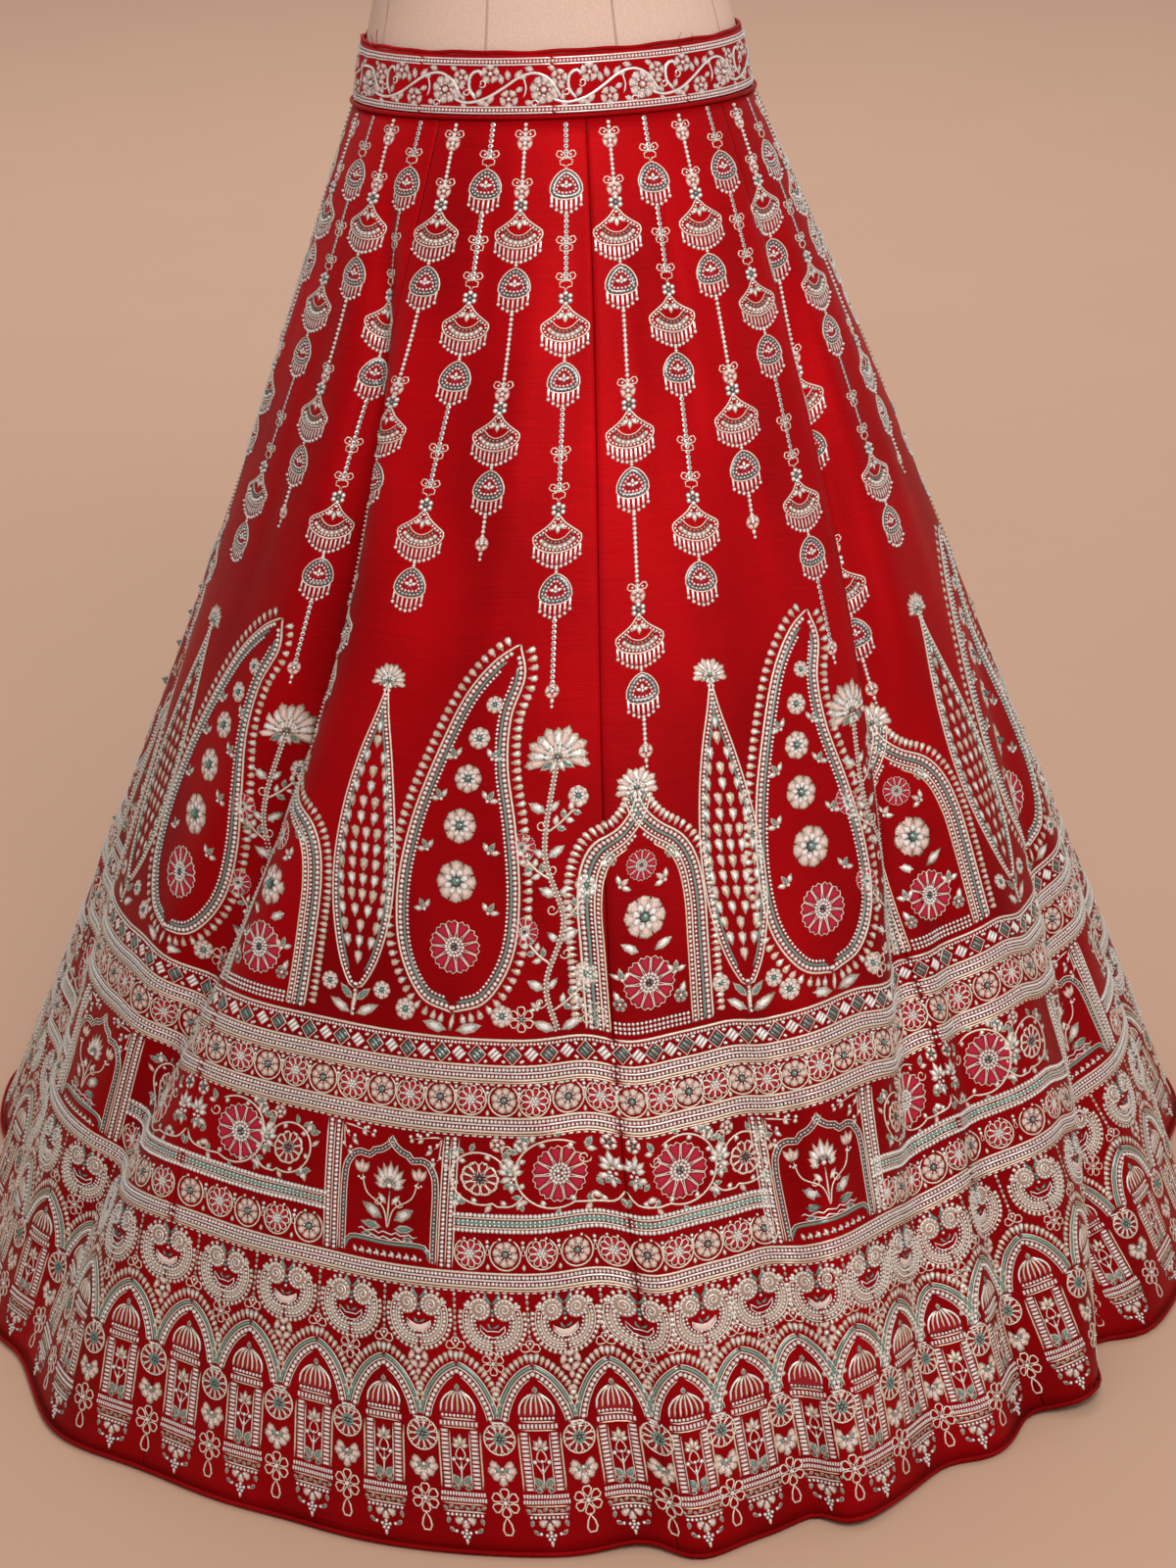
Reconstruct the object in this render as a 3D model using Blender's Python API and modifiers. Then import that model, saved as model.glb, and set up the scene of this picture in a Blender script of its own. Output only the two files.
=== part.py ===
"""A floor-length lehenga skirt standing on a limbless dress form.

Metres, +Z up, the floor at z = 0, the wearer's front towards -Y. The origin is on the
floor, under the middle of the waist. The skirt is eight flared panels (kalis) under a
waistband, with piping at the band's two edges and round the hem. The dress form is a
torso with a neck cap, on a pole and a round base.

An angle goes round the skirt in degrees, 0 at the front and growing towards +X. Down
goes from 0 at the top edge of the panels to 1 at the hem.
"""

import math

import bmesh
import bpy
import numpy as np

COLLECTION = "lehenga_skirt"

# Driving dimensions of the skirt.
WAIST_Z = 1.000  # top edge of the waistband
BAND_HEIGHT = 0.045
BAND_WALL = 0.003
BAND_TOP_HALF_WIDTH = 0.1465
BAND_FLARE = 0.008  # how much further out the band's lower edge is, each side
WAIST_DEPTH_SHARE = 0.74  # half depth over half width, at the waist
WAIST_TILT = 0.040  # rise of the waist per metre towards the front
HEM_HALF_WIDTH = 0.548
HEM_HALF_DEPTH = 0.572
HEM_SHIFT_X = -0.011  # how far the hem lies to one side
SHIFT_MIDDLE = 0.4
MIDDLE_SHIFT_X = 0.0035  # the same, SHIFT_MIDDLE of the way down
CLOTH_WALL = 0.002
SEAM_GAP = 0.0003
WAIST_PIPING_RADIUS = 0.0024
HEM_PIPING_RADIUS = 0.0020
HEM_PIPING_Z = 0.0030  # height of the hem piping's centre over the cloth's lower edge
HEM_PIPING_OFFSET = 0.0033  # its centre's distance from the cloth

# Seams between the panels: the angle of each at the waistband, halfway and at the hem,
# and how many columns of faces the panel that starts there has.
SEAM_COLUMNS = ("waist_deg", "middle_deg", "hem_deg", "columns")
SEAMS = (
    (-33.5, -42.0, -39.0, 22),
    (8.8, 2.2, 6.5, 24),
    (55.0, 41.5, 41.0, 22),
    (100.0, 87.0, 88.0, 13),
    (145.0, 133.0, 134.0, 13),
    (190.0, 181.0, 181.0, 13),
    (235.0, 229.0, 229.0, 13),
    (280.0, 275.0, 275.0, 20),
)

# Large folds. Each runs from its angle at the waist, through those a third and two
# thirds of the way down, to the one at the hem. Its depth is how far the cloth moves
# out (+) or in (-): none at start, middle_depth at FOLD_MIDDLE and hem_depth at the
# hem. Lean is how far the cloth moves sideways at the hem, towards growing angles, and
# lift how far the hem rises.
FOLD_MIDDLE = 0.6
FOLD_COLUMNS = (
    "waist_deg", "third_deg", "two_thirds_deg", "hem_deg", "half_width_deg",
    "middle_depth", "hem_depth", "lean", "lift", "start",
)
FOLDS = (
    # front, left of the middle
    (-51.0, -40.5, -49.5, -58.0, 3.8, -0.040, -0.008, -0.010, 0.000, 0.03),
    (-42.0, -31.0, -40.0, -47.0, 6.0, 0.010, 0.018, -0.004, 0.000, 0.10),
    (-88.0, -85.0, -80.0, -78.0, 6.0, -0.014, -0.020, 0.000, 0.000, 0.04),
    (-20.0, -20.0, -22.0, -25.0, 5.0, -0.005, -0.004, 0.000, 0.000, 0.10),
    # front, middle and right
    (9.0, 3.0, 3.0, 3.0, 3.2, -0.002, -0.008, 0.004, 0.003, 0.45),
    (9.0, 3.0, 4.0, 8.5, 3.0, 0.002, 0.014, -0.004, 0.000, 0.45),
    (24.0, 22.0, 18.5, 17.0, 2.4, -0.002, -0.010, 0.006, 0.000, 0.55),
    (30.0, 28.0, 24.0, 21.5, 3.0, 0.003, 0.014, -0.010, 0.004, 0.55),
    (56.0, 49.5, 38.0, 29.5, 3.4, -0.034, -0.014, 0.006, 0.000, 0.05),
    (66.0, 54.0, 44.5, 39.5, 3.0, -0.018, -0.020, 0.006, 0.000, 0.40),
    (74.0, 64.0, 53.0, 45.0, 3.4, 0.004, 0.010, 0.000, 0.010, 0.45),
    (90.0, 78.0, 66.0, 51.0, 3.6, -0.014, -0.034, 0.008, 0.000, 0.40),
    # sides and back
    (97.0, 93.0, 88.0, 84.0, 7.0, -0.030, -0.032, 0.000, 0.000, 0.15),
    (124.0, 121.0, 120.0, 119.0, 4.8, -0.034, -0.036, 0.008, 0.000, 0.05),
    (140.0, 137.0, 134.0, 133.0, 6.0, 0.006, 0.012, 0.004, 0.008, 0.25),
    (155.0, 152.0, 150.0, 149.0, 5.5, -0.014, -0.024, 0.000, 0.000, 0.30),
    (186.0, 184.0, 182.0, 181.0, 4.6, -0.036, -0.036, -0.008, 0.000, 0.04),
    (200.0, 200.0, 199.0, 198.0, 6.0, 0.006, 0.012, 0.000, 0.009, 0.30),
    (214.0, 212.0, 211.0, 210.0, 5.5, -0.012, -0.022, 0.000, 0.000, 0.30),
    (233.0, 233.0, 234.0, 235.0, 4.8, -0.034, -0.034, 0.006, 0.000, 0.06),
    (250.0, 251.0, 252.0, 253.0, 6.0, 0.006, 0.012, 0.000, 0.008, 0.30),
    (266.0, 266.0, 267.0, 268.0, 5.2, -0.022, -0.030, 0.000, 0.000, 0.06),
)

# How finely the solids follow the surfaces.
PANEL_ROWS = 16
BAND_SEGMENTS = 64
RING_SAMPLES = 1440  # samples of a ring's length
NORMAL_STEP_DEG = 0.05
NORMAL_STEP_DOWN = 0.002

# Dress form and stand.
FORM_SECTION_COLUMNS = ("height", "half_width", "half_depth", "forward", "tilt")
FORM_SECTIONS = (
    (0.765, 0.1280, 0.0960, -0.004, 0.0),
    (0.775, 0.1500, 0.1120, -0.004, 0.0),
    (0.800, 0.1680, 0.1240, -0.004, 0.0),
    (0.850, 0.1720, 0.1270, -0.003, 0.0),
    (0.900, 0.1640, 0.1210, -0.001, 0.0),
    (0.951, 0.1518, 0.1114, 0.000, 1.0),
    (0.978, 0.1472, 0.1080, 0.000, 1.0),
    (1.003, 0.1418, 0.1036, 0.000, 1.0),
    (1.035, 0.1345, 0.0990, 0.000, 0.5),
    (1.080, 0.1290, 0.0950, 0.000, 0.0),
    (1.130, 0.1330, 0.0980, 0.002, 0.0),
    (1.190, 0.1430, 0.1050, 0.006, 0.0),
    (1.250, 0.1520, 0.1120, 0.010, 0.0),
    (1.310, 0.1580, 0.1060, 0.008, 0.0),
    (1.360, 0.1640, 0.0920, 0.000, 0.0),
    (1.395, 0.1560, 0.0800, -0.006, 0.0),
    (1.420, 0.1250, 0.0690, -0.010, 0.0),
    (1.440, 0.0820, 0.0590, -0.012, 0.0),
    (1.462, 0.0600, 0.0540, -0.012, 0.0),
    (1.505, 0.0560, 0.0520, -0.012, 0.0),
)
FORM_SEGMENTS = 24
NECK_CAP_RADIUS = 0.053
NECK_CAP_HEIGHT = 0.012
CAP_KNOB_RADIUS = 0.012
CAP_KNOB_HEIGHT = 0.022
POLE_RADIUS = 0.0125
COLLAR_RADIUS = 0.032
COLLAR_HEIGHT = 0.030
BASE_RADIUS = 0.170
BASE_HEIGHT = 0.014
BOSS_RADIUS = 0.024
BOSS_HEIGHT = 0.030
EDGE_BEVEL = 0.0015

# Colour, roughness, metallic.
FINISHES = {
    "red_silk": ((0.56, 0.006, 0.012, 1.0), 0.42, 0.0),
    "form_cloth": ((0.78, 0.54, 0.43, 1.0), 0.80, 0.0),
    "stand_metal": ((0.62, 0.62, 0.60, 1.0), 0.30, 1.0),
    "cap_wood": ((0.42, 0.24, 0.12, 1.0), 0.50, 0.0),
}


def clear_scene():
    for thing in list(bpy.data.objects):
        bpy.data.objects.remove(thing, do_unlink=True)


def finish(name):
    """The material of that name, made once."""
    found = bpy.data.materials.get(name)
    if found:
        return found
    colour, roughness, metallic = FINISHES[name]
    material = bpy.data.materials.new(name)
    material.use_nodes = True
    shader = material.node_tree.nodes["Principled BSDF"]
    shader.inputs["Base Color"].default_value = colour
    shader.inputs["Roughness"].default_value = roughness
    shader.inputs["Metallic"].default_value = metallic
    material.diffuse_color = colour
    return material


def rows(columns, table):
    """The table's rows as dictionaries keyed by column name."""
    return [dict(zip(columns, row)) for row in table]


def mix(first, last, share):
    return first + (last - first) * share


# ---- The skirt's surface ----


def band_half_width(below_top):
    """Half width of the waistband's outer face, that far below its top edge."""
    return BAND_TOP_HALF_WIDTH + BAND_FLARE * below_top / BAND_HEIGHT


def through(places, values, down):
    """The lowest polynomial that has those values at those places."""
    total = 0.0
    for k, value in enumerate(values):
        term = value
        for m, place in enumerate(places):
            if m != k:
                term = term * (down - place) / (places[k] - place)
        total = total + term
    return total


def fold_path(fold, down):
    """The fold's angle at each level."""
    values = [fold[name] for name in FOLD_COLUMNS[:4]]
    return through((0, 1 / 3, 2 / 3, 1), values, down)


def fold_depth(fold, down):
    """How deep the fold is at each level."""
    places = (fold["start"], FOLD_MIDDLE, 1)
    depth = through(places, (0, fold["middle_depth"], fold["hem_depth"]), down)
    return np.where(down > fold["start"], depth, 0)


def fold_share(fold, angle, down):
    """How near a point is to the fold's line: 1 on it, falling off sideways."""
    away = (angle - fold_path(fold, down) + 180.0) % 360.0 - 180.0
    return np.exp(-((away / fold["half_width_deg"]) ** 2))


def seam_angle(seam, down):
    return through((0, 0.5, 1), [seam[name] for name in SEAM_COLUMNS[:3]], down)


def skirt_point(angle, down):
    """Points on the outside of the skirt; angle and down are arrays of one shape."""
    top_half_width = band_half_width(BAND_HEIGHT)
    half_width = mix(top_half_width, HEM_HALF_WIDTH, down)
    half_depth = mix(top_half_width * WAIST_DEPTH_SHARE, HEM_HALF_DEPTH, down)
    turn = np.radians(angle)
    shift_x = through((0, SHIFT_MIDDLE, 1), (0, MIDDLE_SHIFT_X, HEM_SHIFT_X), down)
    out = np.zeros_like(half_width)
    side = np.zeros_like(half_width)
    lift = np.zeros_like(half_width)
    for fold in rows(FOLD_COLUMNS, FOLDS):
        share = fold_share(fold, angle, down)
        out = out + fold_depth(fold, down) * share
        side = side + fold["lean"] * share * down**2
        lift = lift + fold["lift"] * share * down**6
    x = (half_width + out) * np.sin(turn) + side * np.cos(turn) + shift_x
    y = side * np.sin(turn) - (half_depth + out) * np.cos(turn)
    top = WAIST_Z - BAND_HEIGHT - SEAM_GAP
    z = top * (1 - down) - WAIST_TILT * y * (1 - down) + lift
    return np.stack([x, y, z], axis=-1)


def skirt_normal(angle, down):
    """Unit normals of the same surface, pointing away from the legs."""
    along = skirt_point(angle + NORMAL_STEP_DEG, down) - skirt_point(angle - NORMAL_STEP_DEG, down)
    upper = np.clip(down - NORMAL_STEP_DOWN, 0, 1)
    lower = np.clip(down + NORMAL_STEP_DOWN, 0, 1)
    fall = skirt_point(angle, lower) - skirt_point(angle, upper)
    normal = np.cross(fall, along)
    return normal / np.linalg.norm(normal, axis=-1, keepdims=True)


def ring_lengths(down):
    """Angles from the first seam once round, and the cloth's length up to each."""
    start = SEAMS[0][0] - 45.0
    angles = start + np.linspace(0, 450, RING_SAMPLES + 1)
    points = skirt_point(angles, np.full(angles.shape, down))
    steps = np.linalg.norm(np.diff(points, axis=0), axis=1)
    return angles, np.concatenate([[0], np.cumsum(steps)])


def panel_angles(index, down):
    """The angles of one row of a panel, evenly spaced along the cloth."""
    seams = rows(SEAM_COLUMNS, SEAMS)
    left, right = seams[index], seams[(index + 1) % len(seams)]
    turn = 360.0 if index + 1 == len(seams) else 0.0
    angles, lengths = ring_lengths(down)
    first = np.interp(seam_angle(left, down), angles, lengths)
    last = np.interp(seam_angle(right, down) + turn, angles, lengths)
    along = np.linspace(first + SEAM_GAP / 2, last - SEAM_GAP / 2, left["columns"] + 1)
    return np.interp(along, lengths, angles)


# ---- Meshes ----


def add_object(name, material, mesh, collection):
    thing = bpy.data.objects.new(name, mesh)
    mesh.materials.append(finish(material))
    collection.objects.link(thing)
    return thing


def shade(mesh, sharp_deg=50):
    mesh.shade_smooth()
    mesh.set_sharp_from_angle(angle=math.radians(sharp_deg))


def halfway(points, axis):
    """Points halfway between neighbours along one axis of a grid, on smooth curves."""
    points = np.moveaxis(points, axis, 0)
    before = np.concatenate([2 * points[:1] - points[1:2], points[:-2]])
    after = np.concatenate([points[2:], 2 * points[-1:] - points[-2:-1]])
    found = (9 * (points[:-1] + points[1:]) - before - after) / 16
    return np.moveaxis(found, 0, axis)


def flatter_diagonals(points):
    """Whether each square of a grid bends less along its first diagonal than its second."""
    middle = halfway(halfway(points, 0), 1)
    first = (points[:-1, :-1] + points[1:, 1:]) / 2 - middle
    second = (points[1:, :-1] + points[:-1, 1:]) / 2 - middle
    return np.linalg.norm(first, axis=-1) < np.linalg.norm(second, axis=-1)


def add_square(work, a, b, c, d, first_diagonal):
    """Two triangles, joined from a to c or from b to d."""
    if first_diagonal:
        work.faces.new((a, b, c))
        work.faces.new((a, c, d))
    else:
        work.faces.new((a, b, d))
        work.faces.new((b, c, d))


def closed_wall(name, outer, inner, closed_round):
    """A wall between two grids of points, rows by columns, with its rims filled.

    The outer grid is seen from outside with its rows running down and its columns
    running to the right. closed_round joins the last column to the first.
    """
    work = bmesh.new()
    outline = np.array(outer)
    if closed_round:
        outline = np.concatenate([outline, outline[:, :1]], axis=1)
    first_diagonals = flatter_diagonals(outline)
    grids = [[[work.verts.new(point) for point in row] for row in grid] for grid in (outer, inner)]
    row_count, column_count = len(outer), len(outer[0])
    steps = column_count if closed_round else column_count - 1
    for r in range(row_count - 1):
        for c in range(steps):
            d = (c + 1) % column_count
            front, back = grids
            first = first_diagonals[r, c]
            add_square(work, front[r][c], front[r + 1][c], front[r + 1][d], front[r][d], first)
            add_square(work, back[r][c], back[r][d], back[r + 1][d], back[r + 1][c], first)
    for c in range(steps):
        d = (c + 1) % column_count
        front, back = grids
        work.faces.new((front[0][c], front[0][d], back[0][d], back[0][c]))
        work.faces.new((front[-1][c], back[-1][c], back[-1][d], front[-1][d]))
    if not closed_round:
        for r in range(row_count - 1):
            front, back = grids
            work.faces.new((front[r][0], back[r][0], back[r + 1][0], front[r + 1][0]))
            work.faces.new((front[r][-1], front[r + 1][-1], back[r + 1][-1], back[r][-1]))
    mesh = bpy.data.meshes.new(name)
    work.to_mesh(mesh)
    work.free()
    return mesh


def tube_ring(name, material, centres, radius, collection):
    """A closed round cord through the centres."""
    curve = bpy.data.curves.new(name, "CURVE")
    curve.dimensions = "3D"
    curve.bevel_depth = radius
    curve.bevel_resolution = 1
    spline = curve.splines.new("POLY")
    spline.points.add(len(centres) - 1)
    for point, centre in zip(spline.points, centres):
        point.co = (*centre, 1.0)
    spline.use_cyclic_u = True
    return add_object(name, material, curve, collection)


def cylinder(name, material, radius, low, high, collection, segments=32):
    """A round bar or disc with softened edges, on the Z axis."""
    work = bmesh.new()
    bmesh.ops.create_cone(
        work, cap_ends=True, segments=segments, radius1=radius, radius2=radius, depth=high - low
    )
    mesh = bpy.data.meshes.new(name)
    work.to_mesh(mesh)
    work.free()
    thing = add_object(name, material, mesh, collection)
    thing.location = (0, 0, (low + high) / 2)
    bevel = thing.modifiers.new("soft edges", "BEVEL")
    bevel.width = EDGE_BEVEL
    bevel.segments = 2
    bevel.limit_method = "ANGLE"
    shade(mesh)
    return thing


# ---- Pieces ----


def panel_row(index, down):
    """One row of a panel's points: its outer face, and its inner face."""
    angles = panel_angles(index, down)
    level = np.full(angles.shape, down)
    outer = skirt_point(angles, level)
    inner = outer - skirt_normal(angles, level) * CLOTH_WALL
    if down in (0.0, 1.0):
        inner[:, 2] = outer[:, 2]
    return outer, inner


def build_panel(index, collection):
    levels = np.linspace(0, 1, PANEL_ROWS + 1)
    outer, inner = zip(*(panel_row(index, down) for down in levels))
    name = f"panel_{index + 1}"
    mesh = closed_wall(name, outer, inner, closed_round=False)
    shade(mesh)
    return add_object(name, "red_silk", mesh, collection)


def band_ring(below_top, inset, lift=0.0, segments=BAND_SEGMENTS):
    """A ring of points on the waistband, moved in by inset and up by lift."""
    turn = np.radians(np.linspace(0, 360, segments, endpoint=False))
    half_width = band_half_width(below_top)
    x = (half_width - inset) * np.sin(turn)
    y = -(half_width * WAIST_DEPTH_SHARE - inset) * np.cos(turn)
    z = WAIST_Z - below_top - WAIST_TILT * y + lift
    return np.stack([x, y, z], axis=-1)


def build_waistband(collection):
    levels = (0.0, BAND_HEIGHT / 2, BAND_HEIGHT)
    outer = [band_ring(level, 0.0) for level in levels]
    inner = [band_ring(level, BAND_WALL) for level in levels]
    mesh = closed_wall("waistband", outer, inner, closed_round=True)
    shade(mesh)
    add_object("waistband", "red_silk", mesh, collection)


def build_waist_piping(collection):
    clear = WAIST_PIPING_RADIUS + SEAM_GAP
    upper = band_ring(0.0, BAND_WALL / 2, lift=clear)
    tube_ring("piping_waist_top", "red_silk", upper, WAIST_PIPING_RADIUS, collection)
    lower = band_ring(BAND_HEIGHT, -clear - SEAM_GAP)
    tube_ring("piping_waist_bottom", "red_silk", lower, WAIST_PIPING_RADIUS, collection)


def outset_loop(points, distance):
    """A closed loop of points moved out in plan, so that each side keeps that distance."""
    before = points - np.roll(points, 1, axis=0)
    after = np.roll(points, -1, axis=0) - points
    normals = []
    for side in (before, after):
        flat = np.stack([side[:, 1], -side[:, 0]], axis=-1)
        normals.append(flat / np.linalg.norm(flat, axis=1, keepdims=True))
    corner = normals[0] + normals[1]
    corner = 2 * corner / np.sum(corner * corner, axis=1, keepdims=True)
    moved = points.copy()
    moved[:, :2] += corner * distance
    return moved


def build_hem_piping(collection):
    """The cord round the hem, standing off the panels' own lowest faces."""
    centres = []
    for index in range(len(SEAMS)):
        row_above, hem_row = (panel_row(index, down)[0] for down in (1 - 1 / PANEL_ROWS, 1.0))
        share = HEM_PIPING_Z / (row_above[:, 2:3] - hem_row[:, 2:3])
        centres.append(mix(hem_row, row_above, share)[:-1])
    centres = outset_loop(np.concatenate(centres), HEM_PIPING_OFFSET)
    tube_ring("piping_hem", "red_silk", centres, HEM_PIPING_RADIUS, collection)


def build_torso(collection):
    """The dress form's body, lofted through its sections and closed at both ends."""
    work = bmesh.new()
    turn = np.linspace(0, 2 * math.pi, FORM_SEGMENTS, endpoint=False)
    rings = []
    for section in rows(FORM_SECTION_COLUMNS, FORM_SECTIONS):
        x = section["half_width"] * np.sin(turn)
        y = -section["half_depth"] * np.cos(turn) - section["forward"]
        z = section["height"] - WAIST_TILT * y * section["tilt"]
        rings.append([work.verts.new(point) for point in np.stack([x, y, z + 0 * x], axis=-1)])
    for low, high in zip(rings, rings[1:]):
        for k in range(FORM_SEGMENTS):
            n = (k + 1) % FORM_SEGMENTS
            work.faces.new((low[k], low[n], high[n], high[k]))
    work.faces.new(list(reversed(rings[0])))
    work.faces.new(rings[-1])
    mesh = bpy.data.meshes.new("dress_form_torso")
    work.to_mesh(mesh)
    work.free()
    shade(mesh)
    add_object("dress_form_torso", "form_cloth", mesh, collection)


def build_stand(collection):
    form_bottom = FORM_SECTIONS[0][0]
    neck_top = FORM_SECTIONS[-1][0]
    neck_y = -FORM_SECTIONS[-1][3]
    cap_low = neck_top + SEAM_GAP
    cap_high = cap_low + NECK_CAP_HEIGHT
    cap = cylinder("neck_cap", "cap_wood", NECK_CAP_RADIUS, cap_low, cap_high, collection)
    knob_low = cap_high + SEAM_GAP
    knob = cylinder("neck_knob", "cap_wood", CAP_KNOB_RADIUS, knob_low, knob_low + CAP_KNOB_HEIGHT, collection)
    for thing in (cap, knob):
        thing.location.y = neck_y
    collar_high = form_bottom - SEAM_GAP
    collar_low = collar_high - COLLAR_HEIGHT
    cylinder("stand_collar", "stand_metal", COLLAR_RADIUS, collar_low, collar_high, collection)
    boss_low = BASE_HEIGHT + SEAM_GAP
    boss_high = boss_low + BOSS_HEIGHT
    cylinder("stand_base", "stand_metal", BASE_RADIUS, 0.0, BASE_HEIGHT, collection, segments=48)
    cylinder("stand_boss", "stand_metal", BOSS_RADIUS, boss_low, boss_high, collection)
    pole_low, pole_high = boss_high + SEAM_GAP, collar_low - SEAM_GAP
    cylinder("stand_pole", "stand_metal", POLE_RADIUS, pole_low, pole_high, collection, segments=24)


def main():
    clear_scene()
    collection = bpy.data.collections.new(COLLECTION)
    bpy.context.scene.collection.children.link(collection)
    for index in range(len(SEAMS)):
        build_panel(index, collection)
    build_waistband(collection)
    build_waist_piping(collection)
    build_hem_piping(collection)
    build_torso(collection)
    build_stand(collection)


main()
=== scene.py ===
"""Looks of a red silk lehenga skirt, embroidered all over, on a limbless dress form.

Metres, +Z up, the wearer's front towards -Y. The skirt's surface is worked out from the
same sizes as its solids. Its cloth is eight shells, one for each panel, with finer
creases. A place on the skirt has two numbers. Turn goes round, from 0 at the first seam
to 8, one for each panel. Fall is the length of cloth below the waistband, in metres.

The embroidery is drawn as motifs in millimetres, x to the right, y down the cloth and h
off it. Each piece of embroidery lays many copies of its motifs on the cloth.
"""

import math

import bmesh
import bpy
import numpy as np
from mathutils import Matrix, Vector


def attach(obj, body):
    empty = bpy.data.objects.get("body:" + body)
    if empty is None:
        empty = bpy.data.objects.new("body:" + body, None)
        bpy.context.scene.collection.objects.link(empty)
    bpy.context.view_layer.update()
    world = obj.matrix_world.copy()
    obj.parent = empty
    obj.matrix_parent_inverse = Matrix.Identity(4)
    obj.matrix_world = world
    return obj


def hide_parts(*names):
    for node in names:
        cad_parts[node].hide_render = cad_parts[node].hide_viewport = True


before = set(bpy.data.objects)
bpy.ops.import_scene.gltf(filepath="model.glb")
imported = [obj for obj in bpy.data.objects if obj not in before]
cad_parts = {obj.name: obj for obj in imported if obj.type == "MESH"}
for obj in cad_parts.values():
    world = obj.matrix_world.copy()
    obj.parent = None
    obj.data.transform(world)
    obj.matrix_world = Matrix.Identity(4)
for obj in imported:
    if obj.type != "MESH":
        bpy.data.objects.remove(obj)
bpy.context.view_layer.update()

rng = np.random.default_rng(41)

# ---- The skirt's sizes, as in its solids ----

WAIST_Z = 1.000
BAND_HEIGHT = 0.045
BAND_WALL = 0.003
BAND_TOP_HALF_WIDTH = 0.1465
BAND_FLARE = 0.008
WAIST_DEPTH_SHARE = 0.74
WAIST_TILT = 0.040
HEM_HALF_WIDTH = 0.548
HEM_HALF_DEPTH = 0.572
HEM_SHIFT_X = -0.011
SHIFT_MIDDLE = 0.4
MIDDLE_SHIFT_X = 0.0035
SEAM_GAP = 0.0003
WAIST_PIPING_RADIUS = 0.0024
HEM_PIPING_RADIUS = 0.0020
SEAM_COLUMNS = ("waist_deg", "middle_deg", "hem_deg")
SEAMS = (
    (-33.5, -42.0, -39.0),
    (8.8, 2.2, 6.5),
    (55.0, 41.5, 41.0),
    (100.0, 87.0, 88.0),
    (145.0, 133.0, 134.0),
    (190.0, 181.0, 181.0),
    (235.0, 229.0, 229.0),
    (280.0, 275.0, 275.0),
)
PANELS = len(SEAMS)
FOLD_MIDDLE = 0.6
FOLD_COLUMNS = (
    "waist_deg", "third_deg", "two_thirds_deg", "hem_deg", "half_width_deg",
    "middle_depth", "hem_depth", "lean", "lift", "start",
)
FOLDS = (
    # front, left of the middle
    (-51.0, -40.5, -49.5, -58.0, 3.8, -0.040, -0.008, -0.010, 0.000, 0.03),
    (-42.0, -31.0, -40.0, -47.0, 6.0, 0.010, 0.018, -0.004, 0.000, 0.10),
    (-88.0, -85.0, -80.0, -78.0, 6.0, -0.014, -0.020, 0.000, 0.000, 0.04),
    (-20.0, -20.0, -22.0, -25.0, 5.0, -0.005, -0.004, 0.000, 0.000, 0.10),
    # front, middle and right
    (9.0, 3.0, 3.0, 3.0, 3.2, -0.002, -0.008, 0.004, 0.003, 0.45),
    (9.0, 3.0, 4.0, 8.5, 3.0, 0.002, 0.014, -0.004, 0.000, 0.45),
    (24.0, 22.0, 18.5, 17.0, 2.4, -0.002, -0.010, 0.006, 0.000, 0.55),
    (30.0, 28.0, 24.0, 21.5, 3.0, 0.003, 0.014, -0.010, 0.004, 0.55),
    (56.0, 49.5, 38.0, 29.5, 3.4, -0.034, -0.014, 0.006, 0.000, 0.05),
    (66.0, 54.0, 44.5, 39.5, 3.0, -0.018, -0.020, 0.006, 0.000, 0.40),
    (74.0, 64.0, 53.0, 45.0, 3.4, 0.004, 0.010, 0.000, 0.010, 0.45),
    (90.0, 78.0, 66.0, 51.0, 3.6, -0.014, -0.034, 0.008, 0.000, 0.40),
    # sides and back
    (97.0, 93.0, 88.0, 84.0, 7.0, -0.030, -0.032, 0.000, 0.000, 0.15),
    (124.0, 121.0, 120.0, 119.0, 4.8, -0.034, -0.036, 0.008, 0.000, 0.05),
    (140.0, 137.0, 134.0, 133.0, 6.0, 0.006, 0.012, 0.004, 0.008, 0.25),
    (155.0, 152.0, 150.0, 149.0, 5.5, -0.014, -0.024, 0.000, 0.000, 0.30),
    (186.0, 184.0, 182.0, 181.0, 4.6, -0.036, -0.036, -0.008, 0.000, 0.04),
    (200.0, 200.0, 199.0, 198.0, 6.0, 0.006, 0.012, 0.000, 0.009, 0.30),
    (214.0, 212.0, 211.0, 210.0, 5.5, -0.012, -0.022, 0.000, 0.000, 0.30),
    (233.0, 233.0, 234.0, 235.0, 4.8, -0.034, -0.034, 0.006, 0.000, 0.06),
    (250.0, 251.0, 252.0, 253.0, 6.0, 0.006, 0.012, 0.000, 0.008, 0.30),
    (266.0, 266.0, 267.0, 268.0, 5.2, -0.022, -0.030, 0.000, 0.000, 0.06),
)
RING_SAMPLES = 1440

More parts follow.
